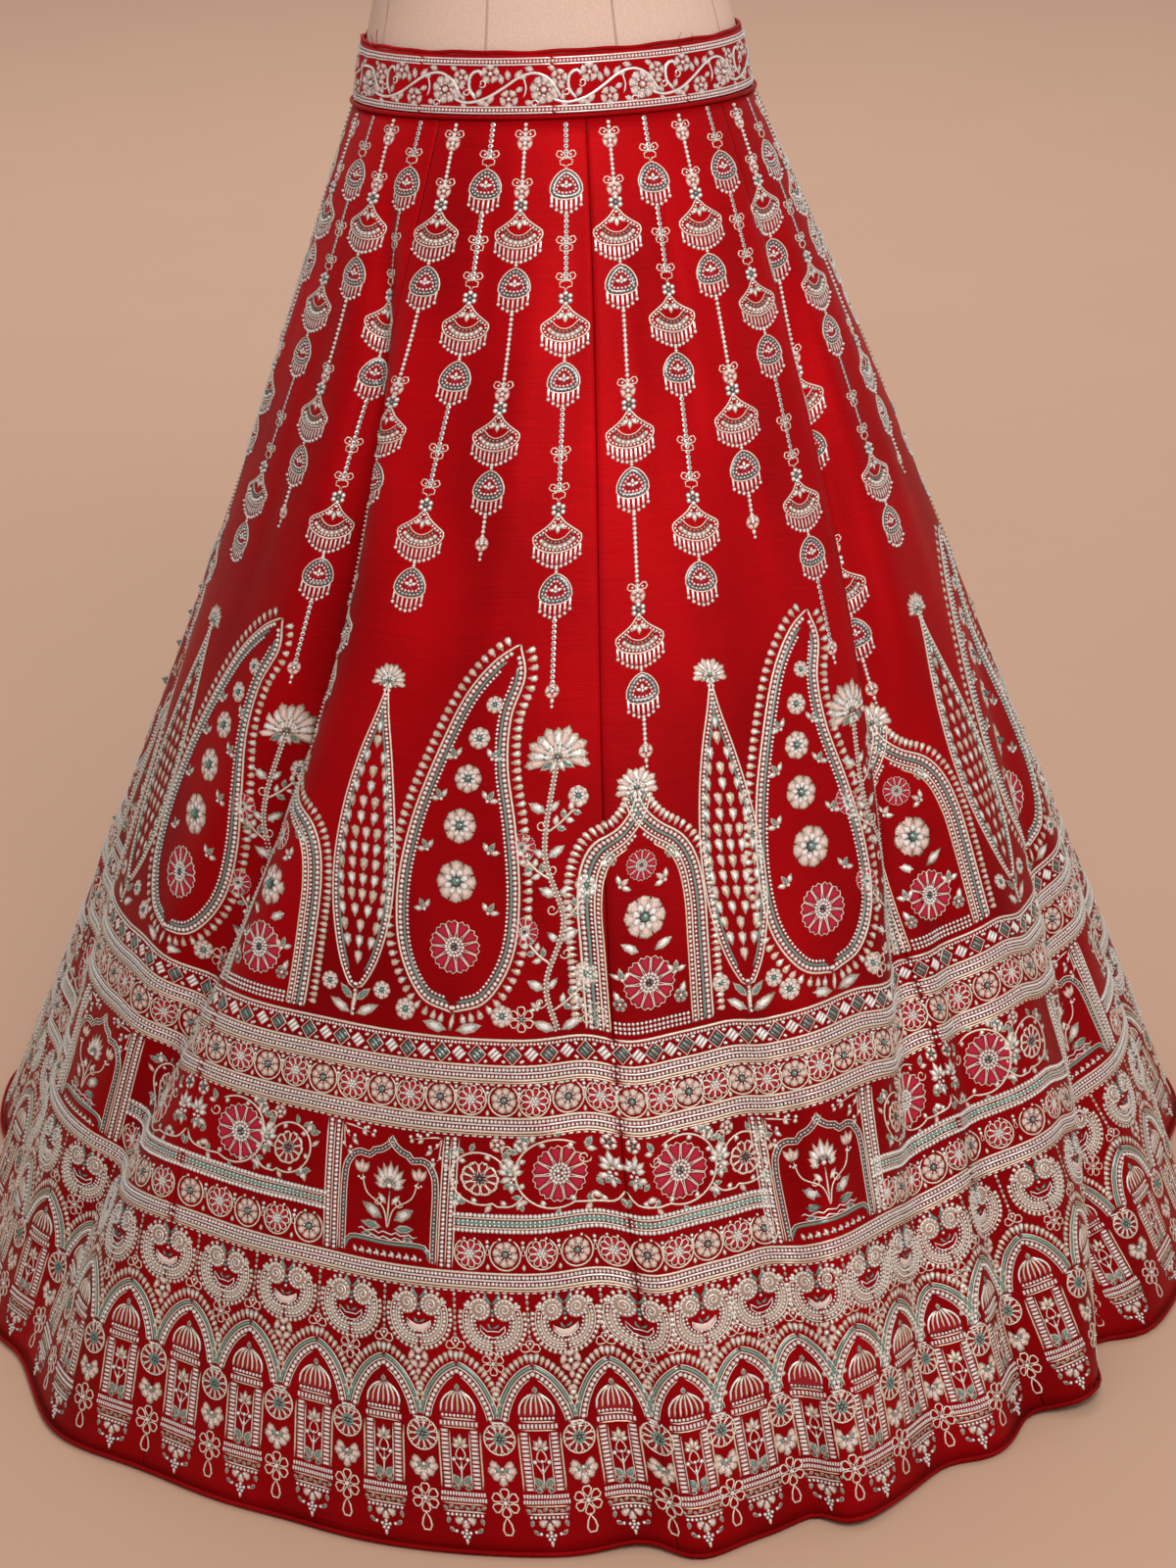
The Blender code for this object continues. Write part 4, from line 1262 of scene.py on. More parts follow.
def lotus_motif():
    """A lotus plant over water: one open flower, two buds and eight leaves."""
    m = Motif()
    for side in (-1, 1):
        m.cord(smooth([(0, 70), (side * 5, 54), (side * 20, 44), (side * 25, 30)], 3), "zari", 1.6, 1.0)
        for degrees in (-90, -90 - 30, -90 + 30):
            m.leaf(side * 25.5, 31, 14, 7, degrees, "blush")
        m.row(arc(side * 25.5, 31, 3.4, 20, 160, 5), 1.2, "pearl", sides=5)
        m.leaf(side * 3, 64, 26, 12, -90 + side * 60, "silver")
        m.row([(side * 7, 61.5), (side * 21, 53.5)], 1.1, "teal", 2.7, sides=5)
        m.leaf(side * 3, 70, 24, 9, -90 + side * 84, "teal")
        m.leaf(side * 1.5, 52, 14, 6.5, -90 + side * 42, "pearl")
        m.leaf(side * 12, 76, 13, 6, -90 + side * 96, "slate")
        curl(m, side * 13, 49, 4.0, 90 - side * 90, flip=side > 0)
    m.cord([(0, 71), (0, 54), (0, 38)], "zari", 2.2, 1.2)
    for k, lean in enumerate((84, 62, 40, 20)):
        for side in (-1, 1):
            length = (15, 18.5, 21, 22)[k]
            m.leaf(0, 37, length, 7.5, -90 + side * lean, ("silver", "blush")[k % 2])
    m.leaf(0, 37, 23, 8.5, -90, "pearl")
    m.row(arc(0, 37, 6.0, 180, 360, 9), 1.3, "teal", sides=5)
    m.row(arc(0, 37, 9.4, 190, 350, 9), 1.2, "pearl", sides=5)
    m.beads([(0, 36)], 2.4, "pearl")
    for y, reach in ((73.5, 27), (77.5, 24)):
        x = np.linspace(-reach, reach, 15)
        m.cord(np.column_stack([x, y + 1.2 * np.sin(x * 0.6)]), "silver", 1.5, 0.9)
    return m


def berry_sprig(m, side):
    """Stems with pearls and leaves in a corner over the niche's arch."""
    for x, y, reach in ((34, 12, 9), (26, 5, 7), (37, 21, 8), (18, 6, 5)):
        m.cord(smooth([(side * 40, 3), (side * (x + 40) / 2, y - 2), (side * x, y)], 4), "zari", 1.1, 0.8)
        m.leaf(side * x, y, reach, 4.6, 90 + side * 52, "silver")
        m.beads([(side * (x + 2.6), y - 3.4), (side * (x - 3), y - 1.5)], 1.6, "pearl", sides=5)
    m.leaf(side * 30, 10, 6, 3.6, 90 - side * 30, "teal")
    m.leaf(side * 37, 28, 6, 3.6, 90 + side * 10, "teal")


def niche_motif():
    """A cusped arch between two beaded posts. Its top middle is at (0, 0)."""
    m = Motif()
    bottom = NICHE_HEIGHT
    rise = np.linspace(0, bottom, 9)
    for side in (-1, 1):
        for x, width in ((NICHE_HALF, 1.6), (NICHE_HALF - 11.4, 1.6), (NICHE_HALF - 5.7, 1.3)):
            m.cord(np.column_stack([side * x + 0 * rise, rise]), "zari", width, 1.0)
        for x, kind in ((NICHE_HALF - 3.0, "pearl"), (NICHE_HALF - 8.6, "silver")):
            m.row([(side * x, 1), (side * x, bottom - 1)], 1.75, kind, 3.3)
        berry_sprig(m, side)
    cusps = [(0, 5), (3.2, 10), (9, 14.5), (15.5, 16.5), (18.5, 20), (25, 19), (32, 21.5), (36, 27)]
    arch = smooth(cusps + [(38.6, 33), (39.8, 46), (39.8, 66), (39.8, bottom - 2)], 3)
    for side in (1, -1):
        edge = arch * (side, 1)
        m.cord(edge, "zari", 1.2, 0.9)
        m.cord(moved(edge, side * 2.4), "slate", 3.0, 0.6)
        m.row(moved(edge, side * 2.4), 1.0, "silver", 3.2, sides=4)
        m.cord(moved(edge, side * 4.6), "zari", 1.1, 0.9)
    over = bottom - 13
    sill = smooth([(-34, bottom - 4), (-30, over), (0, over), (30, over), (34, bottom - 4)], 5)
    m.cord(sill, "teal", 2.8, 1.0)
    m.cord(moved(sill, -2.2), "zari", 1.1, 0.9)
    for x in np.linspace(-25, 25, 9):
        m.leaf(x, bottom - 2.0, 7.5, 4.4, -90 - 24, "silver")
        m.beads([(x + 2.8, bottom - 4.5)], 1.2, "pearl", sides=5)
    m.put(lotus_motif(), 0, 9, scale=0.93)
    return m


def build_niches():
    piece = Piece("niches")
    piece.place(niche_motif(), np.arange(PANELS) + 0.5, NICHE_TOP_FALL)
    piece.build()


# ---- Paisleys, arches, lanterns and flower strings round the hem ----

ARCHES = 7  # in each panel
ARCH_PITCH = 62.0  # mm, nominal
PAISLEY_FALL = 0.8850
ARCH_FALL = 0.9060  # the top of an arch's leaves
LANTERN_FALL = 0.9330
WHEEL_FALL = 0.9700
DROP_CHAIN_FALL = 0.8635
SMALL_FLOWER_FALL = 0.9150


def paisley_motif(blush):
    """Two horns that coil towards each other, 56 mm wide, round a small opening."""
    m = Motif()
    for side in (1, -1):
        arm = smooth([(0, 17.0), (9.5, 15.4), (16.4, 9.0), (19.0, 0), (17.8, -8.6)], 2.6) * (side, 1)
        # Gold-brown ground with painted shade between the bead rows.
        m.cord(arm[::2], "ground_and_shade", 13.0, 0.3)
        m.pad(arc(side * 9.8, -10.0, 9.2, 0, 330, 11), "ground_and_shade", 0.3, 0.9)
        turn = (0, -128) if side > 0 else (180, 308)
        rim = np.vstack([moved(arm, side * 3.8), arc(side * 9.8, -10.0, 7.2, *turn, 8)])
        fringe(m, rim, 3.5, 5.4, 4.4, side * 90, ("silver",))
        m.cord(moved(rim, side * 0.7), "zari", 1.5, 1.1)
        m.row(moved(arm, side * 2.2), 1.5, "pearl", 3.2, sides=5)
        m.cord(arm, "zari", 1.4, 1.0)
        m.row(moved(arm, -side * 2.3)[:-1], 1.5, "pearl", 3.2, sides=5)
        m.row(moved(arm, -side * 5.0)[1:-2], 1.2, "silver", 2.9, sides=5)
        m.row(arc(side * 9.8, -10.0, 7.2, 0, 346, 14), 1.5, "pearl", 3.1, sides=5)
        coil = spiral(side * 9.8, -10.0, 5.0, 1.0, 90, 90 + side * 560, 18)
        m.cord(coil, "silver", 1.5, 1.3)
        m.cord(smooth([(side * 6.0, -23.0), (side * 4.4, -18.6), (0, -13.4)], 3), "teal", 2.6, 1.1)
        m.cord(smooth([(side * 4.6, 0.6), (side * 3.0, 3.2), (0, 4.6)], 3), "teal", 2.4, 1.1)
    m.beads([(0, -9.4), (0, -5.8)], 1.7, "teal")
    m.beads([(0, -2.2)], 1.5, "silver")
    opening = mirrored([(0, 6.4), (4.6, 6.6), (9.8, 2.2), (9.6, 6.4), (5.4, 10.2), (0, 11.4)])
    if blush:
        m.pad(opening, "blush", 1.0, 0.7)
    m.cord(opening, "silver", 1.2, 1.0, closed=True)
    return m


def small_flower_motif(open_loops):
    m = Motif()
    if open_loops:
        m.daisy(0, 0, 8.6, 6, "pearl", thick=1.2, start=30)
    else:
        m.flower(0, -1, 8.4, 5, "blush", "silver", "zari", start=-90, plump=1.0)
        m.leaf(0, 5, 8, 5.5, 90, "blush")
    return m


def drop_chain_motif():
    """The chain and trefoil over an arch's tip."""
    m = Motif()
    for k, y in enumerate(np.arange(0, 33, 4.2)):
        m.leaf(0, y, 4.6, 3.4, 90, "teal" if k % 2 else "silver", "zari")
    for degrees in (200, 270, 340):
        m.loop(0, 41, 7.5, 6.0, degrees, "zari", 1.3)
    m.beads([(0, 36)], 1.3, "pearl")
    return m


def arch_motif():
    """A pointed arch in feathered leaves, couching and pearls, one pitch wide."""
    m = Motif()
    for side in (1, -1):
        half = [(0, 10.5), (6.5, 13.4), (13.4, 18.8), (19.6, 26.6), (24.6, 36), (27.6, 44), (29, 50)]
        half = smooth(half, 2.6) * (side, 1)
        m.cord(moved(half, -side * 1.9), "zari", 1.2, 0.9)
        m.cord(half, "teal", 3.0, 1.1)
        m.row(half, 0.9, "silver", 4.4, sides=4)
        m.cord(moved(half, side * 2.1), "zari", 1.4, 0.9)
        m.row(moved(half, side * 4.9), 1.95, "pearl", 3.9)
        m.cord(moved(half, side * 7.4)[3:], "zari", 1.0, 0.8)
        reach = (1.5 - ARCH_PITCH / 2, ARCH_PITCH / 2 - 1.5)
        fringe(m, moved(half, -side * 2.2), 3.9, 9.6, 5.0, -side * 98, FEATHERS, 0.26, reach)
        for y, kind in ((52.0, "pearl"), (54.2, "zari"), (56.0, "silver")):
            m.cord([(side * 23, y), (side * 27, y), (side * 31, y)], kind, 1.9, 1.1)
    m.leaf(0, 10, 10, 5.4, -90, "silver", "zari", PETAL_OUTLINE)
    return m


def lantern_motif():
    """A hanging lantern, 35 mm wide and 119 mm long; a leaf stands above y = 0."""
    m = Motif()
    m.leaf(0, 3.5, 6.5, 5.4, -90, "teal")
    m.pad(arc(0, 20, 13.0, 180, 360, 10), "wine", 0.2, 0.9)
    for k in range(7):
        lean = (k - 3) / 3
        path = smooth([(lean * 1.6, 2.5), (lean * 8.2, 6.5), (lean * 12.4, 12.5), (lean * 12.9, 19.5)], 4)
        m.cord(path, ("silver", "gold")[k % 2], 2.1, 1.2)
    m.row([(-13.4, 21.2), (13.4, 21.2)], 1.35, "pearl", 2.9, sides=5)
    m.cord([(x, 23.6) for x in np.linspace(-14, 14, 5)], "zari", 1.5, 1.0)
    m.bars([(x, 27.0) for x in np.linspace(-13.4, 13.4, 10)], 2.3, 4.0, "pearl")
    m.cord([(x, 29.9) for x in np.linspace(-14.4, 14.4, 5)], "gold", 1.3, 1.0)
    for side in (-1, 1):
        m.bars([(side * 11.2, y) for y in np.arange(32.6, 75, 3.1)], 6.2, 2.4, "pearl")
        for x, kind, width in ((15.7, "gold", 1.8), (7.4, "zari", 1.1)):
            m.cord([(side * x, y) for y in np.linspace(31, 76, 6)], kind, width, 1.0)
        m.leaf(side * 0.4, 73.5, 13, 8.5, -90 + side * 34, "teal")
        m.leaf(side * 0.8, 74.5, 8, 5.5, -90 + side * 76, "slate")
        m.cord(smooth([(0, 62), (side * 3, 57), (side * 5.4, 54)], 3), "zari", 1.2, 0.9)
        m.beads([(side * 5.2, 53.0)], 1.8, "pearl")
        m.leaf(0, 44, 9.5, 5.0, -90 + side * 36, "gold", "zari")
        m.leaf(0, 44, 7.5, 4.5, -90 + side * 74, "silver", "zari")
    m.cord([(0, 75), (0, 62), (0, 52)], "silver", 1.7, 1.1)
    m.leaf(0, 44, 11, 5.0, -90, "silver", "zari")
    m.loop(0, 43.5, 9.5, 7.5, 90, "zari", 1.4)
    m.beads([(0, 52.5), (0, 59)], 1.5, "silver")
    for y, reach in ((78.2, 16.0), (82.4, 16.6)):
        count = round(reach)
        m.bars([(x, y) for x in np.linspace(-reach, reach, count)], 1.8, 3.4, "pearl")
    m.cord([(x, 85.4) for x in np.linspace(-17.2, 17.2, 6)], "gold", 1.5, 1.1)
    for k, x in enumerate(np.linspace(-14.6, 14.6, 8)):
        m.leaf(x - 2.2, 88.2 + (0.8 if k % 2 else -0.8), 5.4, 3.4, -28 if k % 2 else 28, "teal")
    m.cord([(x, 91.0) for x in np.linspace(-16.4, 16.4, 6)], "zari", 1.6, 1.1)
    m.row([(-14.6, 93.4), (14.6, 93.4)], 1.5, "silver", 3.1, sides=5)
    for degrees in (28, 90, 152):
        m.leaf(0, 95, 9.5, 7.5, degrees, "blush", "zari", PETAL_OUTLINE)
    m.beads([(0, 98.5), (-3, 96.5), (3, 96.5)], 1.5, "pearl")
    for side in (-1, 1):
        m.leaf(side * 12.0, 94.5, 7, 4.4, 90 - side * 14, "teal")
        m.leaf(side * 13.0, 102.0, 7, 4.0, 90 + side * 44, "slate")
        m.beads([(side * 7.4, 105.5), (side * 3.0, 106.5), (side * 1.6, 109.4)], 1.6, "silver", sides=5)
    m.beads([(0, 104.5), (0, 107), (0, 112)], 1.5, "pearl", sides=5)
    m.leaf(0, 111, 5, 3.2, 90, "silver")
    return m


def wheel_string_motif():
    """What hangs between two lanterns: a wheel, a petalled heart, a daisy and a loop."""
    m = Motif()
    m.put(wheel_rosette(13.2, 11, "wine", "teal"))
    m.beads(arc(0, 0, 3.8, 0, 324, 10), 1.4, "teal", sides=5)
    for degrees in (-18, 16, 53, 90, 127, 164, 198):
        long = 15.0 if degrees == 90 else 12.5 if 0 < degrees < 180 else 10.5
        m.leaf(0, 21.0, long, 8.2, degrees, "blush", "zari", PETAL_OUTLINE)
    m.row(arc(0, 21.5, 6.0, 10, 170, 7), 1.2, "silver", 2.6, sides=5)
    for side in (-1, 1):
        m.leaf(side * 0.6, 27, 10.5, 6.4, -90 + side * 38, "teal")
        m.beads([(side * 3.4, 28.0)], 1.3, "silver", sides=5)
    m.beads([(0, 22), (0, 29.5)], 1.6, "pearl")
    m.daisy(0, 46.5, 10.6, 6, "pearl", thick=1.6, start=30)
    m.cord([(0, 35), (0, 37.5)], "zari", 1.5, 0.9)
    m.loop(0, 57.0, 13.5, 7.4, 90, "zari", 1.8)
    return m


def build_hem_border():
    """The arcade round the hem, in four pieces."""
    valleys, tips = every(ARCHES, 0.0), every(ARCHES)
    paisleys = Piece("paisleys")
    for half in (0, 1):
        paisleys.place(paisley_motif(not half), valleys[half::2], PAISLEY_FALL, scale=0.95, loose=0.4)
    arches = Piece("arches")
    arches.place(arch_motif(), tips, ARCH_FALL)
    lanterns = Piece("lanterns")
    lanterns.place(lantern_motif(), tips, LANTERN_FALL, loose=0.3)
    strings = Piece("flower_strings")
    strings.place(drop_chain_motif(), tips, DROP_CHAIN_FALL)
    strings.place(wheel_string_motif(), valleys, WHEEL_FALL, loose=0.4)
    for half in (0, 1):
        flower = small_flower_motif(bool(half))
        strings.place(flower, valleys[half::2], SMALL_FLOWER_FALL, loose=0.4)
    for piece in (paisleys, arches, lanterns, strings):
        piece.build()


# ---- The garden between the strings and the borders ----

GARDEN_FALL = 0.6745  # where its motifs stand
# Where each stands across its panel.
MEDALLION_PLACE, CYPRESS_PLACE, MANGO_PLACE, SPRAY_PLACE = 0.105, 0.375, 0.625, 0.875


def outlined_leaf(m, x, y, length, width, degrees, kind):
    """A long leaf with a couched rim and a row of beads down it."""
    m.leaf(x, y, length, width, degrees, kind)
    down = np.linspace(0.28, 0.78, max(2, round(length / 4))) * length
    beads = turned(np.column_stack([down, 0 * down]), degrees) + (x, y)
    m.beads(beads, 0.9, "teal" if kind == "pearl" else "pearl", sides=4)


def leafy_branch(m, path, leaf, width, kinds):
    """A beaded stem with pairs of leaves, and one at its tip."""
    path = smooth(path, 4)
    m.cord(path, "zari", 2.2, 1.0)
    places, ahead = spaced(path[1:], leaf * 0.72)
    m.beads(places, 1.0, "silver", sides=4)
    for k, ((x, y), degrees) in enumerate(zip(places, ahead)):
        for side in (-1, 1):
            size = leaf * (1.0 - 0.22 * k / len(places))
            m.leaf(x, y, size, width, degrees + side * 50, kinds[(k + (side > 0)) % len(kinds)])
    m.leaf(*path[-1], leaf * 0.95, width, ahead[-1], kinds[0])


def palmette(m, x, y, size):
    """A half-open lotus: two fans of petals on a beaded cup."""
    one = Motif()
    for k, lean in enumerate(np.linspace(-100, 100, 11)):
        kind = "silver" if k % 2 else "blush"
        one.leaf(0, 0, size * (0.92 if k % 2 else 1.0), size * 0.34, lean, kind, "zari", PETAL_OUTLINE)
    for k, lean in enumerate(np.linspace(-80, 80, 8)):
        one.leaf(0, 0, size * 0.66, size * 0.26, lean, "blush" if k % 2 else "pearl", "gold")
    one.row(arc(0, 0, size * 0.36, -96, 96, 9), 1.4, "teal", 2.9, sides=5)
    one.row(arc(0, 0, size * 0.20, -88, 88, 5), 1.4, "pearl", 2.8, sides=5)
    one.beads([(1.0, 0)], 2.2, "teal")
    for side in (-1, 1):
        one.leaf(0, 0, size * 0.62, size * 0.28, side * 122, "teal")
        one.leaf(0, 0, size * 0.48, size * 0.22, side * 152, "silver")
    m.put(one, x, y, -90)


def ringed_flower(m, x, y, size, kind="blush", heart="silver"):
    """A round flower with a second ring of small petals and a ring of beads."""
    m.flower(x, y, size, 8, kind, heart, core=0.26, plump=1.0)
    m.flower(x, y, size * 0.62, 8, "pearl" if kind == "blush" else "blush", heart, None, 22.5, 0.3)
    m.beads(arc(x, y, size * 0.34, 0, 300, 6), 1.0, heart, sides=5)


def trio(m, x, y, degrees, size=8.0, kinds=("silver", "blush", "silver")):
    """Three leaves and a pearl that fill a gap."""
    for k, kind in enumerate(kinds):
        m.leaf(x, y, size, size * 0.55, degrees + (k - 1) * 58, kind)
    m.beads([(x, y)], 1.6, "pearl", sides=5)


def mango_motif():
    """A tall upright paisley with a bent tip, 292 mm high and 117 mm wide, its foot at (0, 0)."""
    m = Motif()
    tip, foot = (34, -286), (0, -14)
    right = [(40, -262), (33, -232), (34, -196), (43, -150), (48, -100), (44, -56), (26, -24)]
    left = [(16, -272), (-4, -244), (-22, -200), (-38, -150), (-47, -100), (-44, -56), (-26, -24)]
    for side, points in ((1, right), (-1, left)):
        run = smooth([tip, *points, foot], 4)
        m.cord(run, "zari", 2.2, 1.2)
        m.row(moved(run, side * 3.0)[2:], 1.9, "pearl", 3.8, sides=5)
        m.cord(moved(run, side * 5.9)[4:-1], "teal", 2.6, 1.0)
        m.row(moved(run, side * 8.6)[6:-2], 1.5, "silver", 3.2, sides=4)
        fringe(m, moved(run, -side * 1.0)[1:-1], 6.4, 10, 6.4, -side * 90, FEATHERS)
    m.put(roundel_motif("slate"), 0, -62, scale=0.95)
    for x, y, size in ((0, -110, 17), (1, -151, 14), (5, -186, 11.5), (11, -216, 9), (20, -241, 7)):
        ringed_flower(m, x, y, size, "blush", "teal")
    for x, y, reach in ((0, -88, 25), (0, -132, 24), (3, -170, 18), (8, -201, 14)):
        for side in (-1, 1):
            trio(m, x + side * reach, y, -90 + side * 30, 10, ("silver", "teal", "silver"))
    m.cord([(0, 0), (0, -7), foot], "zari", 4.6, 1.3)
    for side in (-1, 1):
        m.leaf(0, 0, 28, 11, -90 + side * 76, "silver")
        ringed_flower(m, side * 38, -13, 9, "blush", "teal")
    return m


def cypress_motif():
    """A pointed cypress of overlapping leaves under a lotus, 266 mm high, its foot at (0, 0)."""
    m = Motif()
    half = [(0, -250), (5, -226), (13, -194), (20, -156), (24, -116), (22.5, -78), (15, -44), (5, -24)]
    half = smooth(half + [(0, -22)], 5)
    for side in (1, -1):
        run = half * (side, 1)
        m.cord(run, "zari", 1.8, 1.1)
        m.row(moved(run, side * 2.6), 1.5, "pearl", 3.3, sides=5)
        m.cord(moved(run, side * 5.0)[3:-3], "teal", 1.9, 1.0)
    for k, y in enumerate(np.arange(-38, -222, -11.5)):
        reach = float(np.interp(y, half[:, 1], half[:, 0])) - 8.5
        count = max(1, round(reach / 3.2))
        for i, x in enumerate(np.linspace(-reach, reach, count) if count > 1 else (0.0,)):
            kind = ("blush", "silver", "gold", "pearl")[(k + 2 * i) % 4]
            m.leaf(x, y, 13.5, 8.4, -90 + x * 1.2, kind, "zari", PETAL_OUTLINE)
    m.cord([(0, 0), (0, -12), (0, -24)], "zari", 4.6, 1.3)
    m.row([(0, -1), (0, -22)], 1.5, "silver", 3.3, sides=5)
    for side in (-1, 1):
        m.leaf(0, -2, 25, 10, -90 + side * 62, "silver")
        m.leaf(0, -12, 19, 8, -90 + side * 46, "teal")
        ringed_flower(m, side * 21, -24, 7.5, "blush", "teal")
    palmette(m, 0, -252, 15)
    return m


def spray_motif():
    """A slender flowering stem, 225 mm high, its foot at (0, 0), with one large lotus."""
    m = Motif()
    top = -200
    stem = smooth([(0, 0), (-8, top * 0.18), (6, top * 0.40), (-7, top * 0.66), (2, top)], 5)
    # Gold-brown ground with painted shade between the bead rows.
    m.cord(stem, "ground_and_shade", 4.8, 0.5)
    m.row(moved(stem, -1.4), 1.25, "silver", 3.0, sides=4)
    m.row(moved(stem, 1.4), 1.25, "silver", 3.0, sides=4)
    palmette(m, 2, top, 27)
    for k, share in enumerate((0.08, 0.24, 0.40, 0.56, 0.72)):
        side = -1 if k % 2 else 1
        x, y = stem[int(share * len(stem))]
        reach = (24, 17, 15, 19, 22)[k]
        path = [(x, y), (x + side * reach * 0.5, y - 7), (x + side * reach, y - 17)]
        leafy_branch(m, path, 10, 6.2, ("pearl", "teal"))
        end = x + side * (reach + 2)
        if k in (1, 3):
            m.put(roundel_motif("slate"), end, y - 25, scale=0.50)
        else:
            ringed_flower(m, end, y - 26, 10 - 0.4 * k, ("blush", "silver")[k // 2 % 2], "teal")
        x, y = stem[int((share + 0.08) * len(stem))]
        outlined_leaf(m, x, y, 19, 9.5, -90 - side * 58, "silver")
        outlined_leaf(m, x, y, 14, 7, -90 + side * 44, "pearl")
        curl(m, x, y + 8, 4.6, 90 - side * 90, flip=side > 0)
    for side in (-1, 1):
        m.leaf(0, 0, 24, 10, -90 + side * 64, "silver")
        m.daisy(side * 27, -11, 9.5, 6, "teal", thick=1.4, start=-90)
        trio(m, side * 15, -18, -90 + side * 40)
    return m


def medallion_motif():
    """A pointed medallion 114 mm wide, 195 mm high with its lotus, round three rosettes."""
    m = Motif()
    half = [(0, -176), (5, -163), (15, -151), (32, -138), (42, -119), (46, -92), (46, -60), (46, -30)]
    edge = smooth(half + [(46, 0)], 4)
    for side in (1, -1):
        run = edge * (side, 1)
        m.cord(run, "zari", 2.2, 1.2)
        m.row(moved(run, side * 3.0), 1.9, "pearl", 3.8, sides=5)
        m.cord(moved(run, side * 5.9), "teal", 2.6, 1.0)
        m.row(moved(run, side * 8.6), 1.5, "silver", 3.2, sides=4)
        m.cord(moved(run, side * 10.8), "zari", 1.8, 0.9)
        m.row(moved(run, side * 13.2)[6:], 1.5, "pearl", 3.4, sides=5)
        m.cord(moved(run, side * 15.2)[8:], "gold", 1.6, 0.9)
        reach = (0.5, math.inf) if side > 0 else (-math.inf, -0.5)
        fringe(m, moved(run, -side * 1.0)[:-1], 4.8, 9.6, 5.4, -side * 90, FEATHERS, reach=reach)
    palmette(m, 0, -178, 18)
    m.put(roundel_motif("slate"), 0, -36, scale=0.95)
    ringed_flower(m, 0, -84, 17, "blush", "teal")
    for side in (-1, 1):
        outlined_leaf(m, side * 4, -58, 20, 9, -90 + side * 62, "silver")
    m.put(roundel_motif("teal"), 0, -122, scale=0.55)
    for side in (-1, 1):
        trio(m, side * 17, -108, -90 - side * 50, 10)
        trio(m, side * 20, -40, -90 + side * 10, 10, ("silver", "teal", "silver"))
    for side in (-1, 1):
        for y, degrees in ((-22, -70), (-128, 40)):
            m.leaf(side * 23, y, 12, 6.5, 90 - side * (90 - degrees), "silver")
            m.flower(side * 23, y, 5.6, 6, "teal", "silver")
    for y in (-8.0, -4.6, -1.4):
        m.row([(-29, y), (29, y)], 1.5, "pearl" if y == -4.6 else "silver", 3.3, sides=5)
    return m


def build_garden():
    """A medallion, a cypress, a tall paisley and a spray of flowers in each panel."""
    panels = np.arange(PANELS)
    medallions = Piece("garden_medallions")
    medallions.place(medallion_motif(), panels + MEDALLION_PLACE, GARDEN_FALL)
    cypresses = Piece("garden_cypresses")
    cypresses.place(cypress_motif(), panels + CYPRESS_PLACE, GARDEN_FALL)
    mangoes = Piece("garden_paisleys")
    mangoes.place(mango_motif(), panels + MANGO_PLACE, GARDEN_FALL)
    sprays = Piece("garden_sprays")
    sprays.place(spray_motif(), panels + SPRAY_PLACE, GARDEN_FALL)
    for piece in (medallions, cypresses, mangoes, sprays):
        piece.build()


# ---- Waistband ----

WAIST_REPEATS = 11
WAIST_STEPS = 40  # of a cord's path, in each turn
WAIST_EDGE = 0.0050  # from the band's edges to the middle of its edge rows
WAIST_START = 0.28  # where the first repeat's middle is, as a share of a repeat


def waist_vine_motif():
    """One repeat of the waistband's scroll, 82 mm long, from -41 to 41."""
    m = Motif()
    stem = smooth([(-41, 9), (-30, 12), (-16, 9), (-3, 2), (10, -6), (22, -9), (33, -4), (41, 9)], 3)
    m.cord(stem, "silver", 2.6, 1.3)
    m.flower(28, 3.0, 11.4, 8, "blush", "pearl", "silver", start=12, core=0.22, plump=0.95)
    m.beads(arc(28, 3.0, 4.4, 0, 315, 8), 1.2, "silver", sides=5)
    for x, y, size, start in ((-12, -9, 7.6, -90), (2, 9.5, 7.4, 90), (-35, -6, 6.6, 0)):
        m.flower(x, y, size, 5, "blush", "pearl", "silver", start, core=0.24, plump=0.92)
    m.cord(smooth([(-22, 10), (-28, 2), (-27, -8), (-21, -11), (-18, -7)], 3), "silver", 3.0, 1.3)
    m.cord(smooth([(13, -7), (15, 2), (13, 9)], 3), "silver", 1.6, 1.0)
    for leaf in (
        (-24, 12, 11, 6.6, -4), (-9, 5, 11, 6.4, 122), (-3, 0, 10, 6.0, -100), (6, -4, 11, 6.4, -50),
        (17, -8, 9, 5.6, 160), (-36, 11, 9, 5.6, -120), (-17, 10, 8, 5.4, 60), (38, -11, 8, 5.0, 200),
        (13, 11, 8, 5.4, 20), (40, 12, 8, 5.0, 40), (2, -3, 10, 6.2, -98), (22, -11, 9.5, 5.6, -166),
        (13.5, 1, 8.5, 5.2, 155), (37.5, 0, 7.5, 5.0, 15), (-23, 9, 9.5, 5.8, -60), (-31, 11, 7.5, 5.0, -125),
    ):
        m.leaf(*leaf, "blush", "silver")
    for x, y, size, degrees in ((-18, -2, 3.4, 150), (21, 13, 3.2, 30), (-30, 4, 3.2, 200)):
        m.cord(spiral(x, y, size, size * 0.3, degrees, degrees - 400, 10), "silver", 1.4, 1.0)
    return m


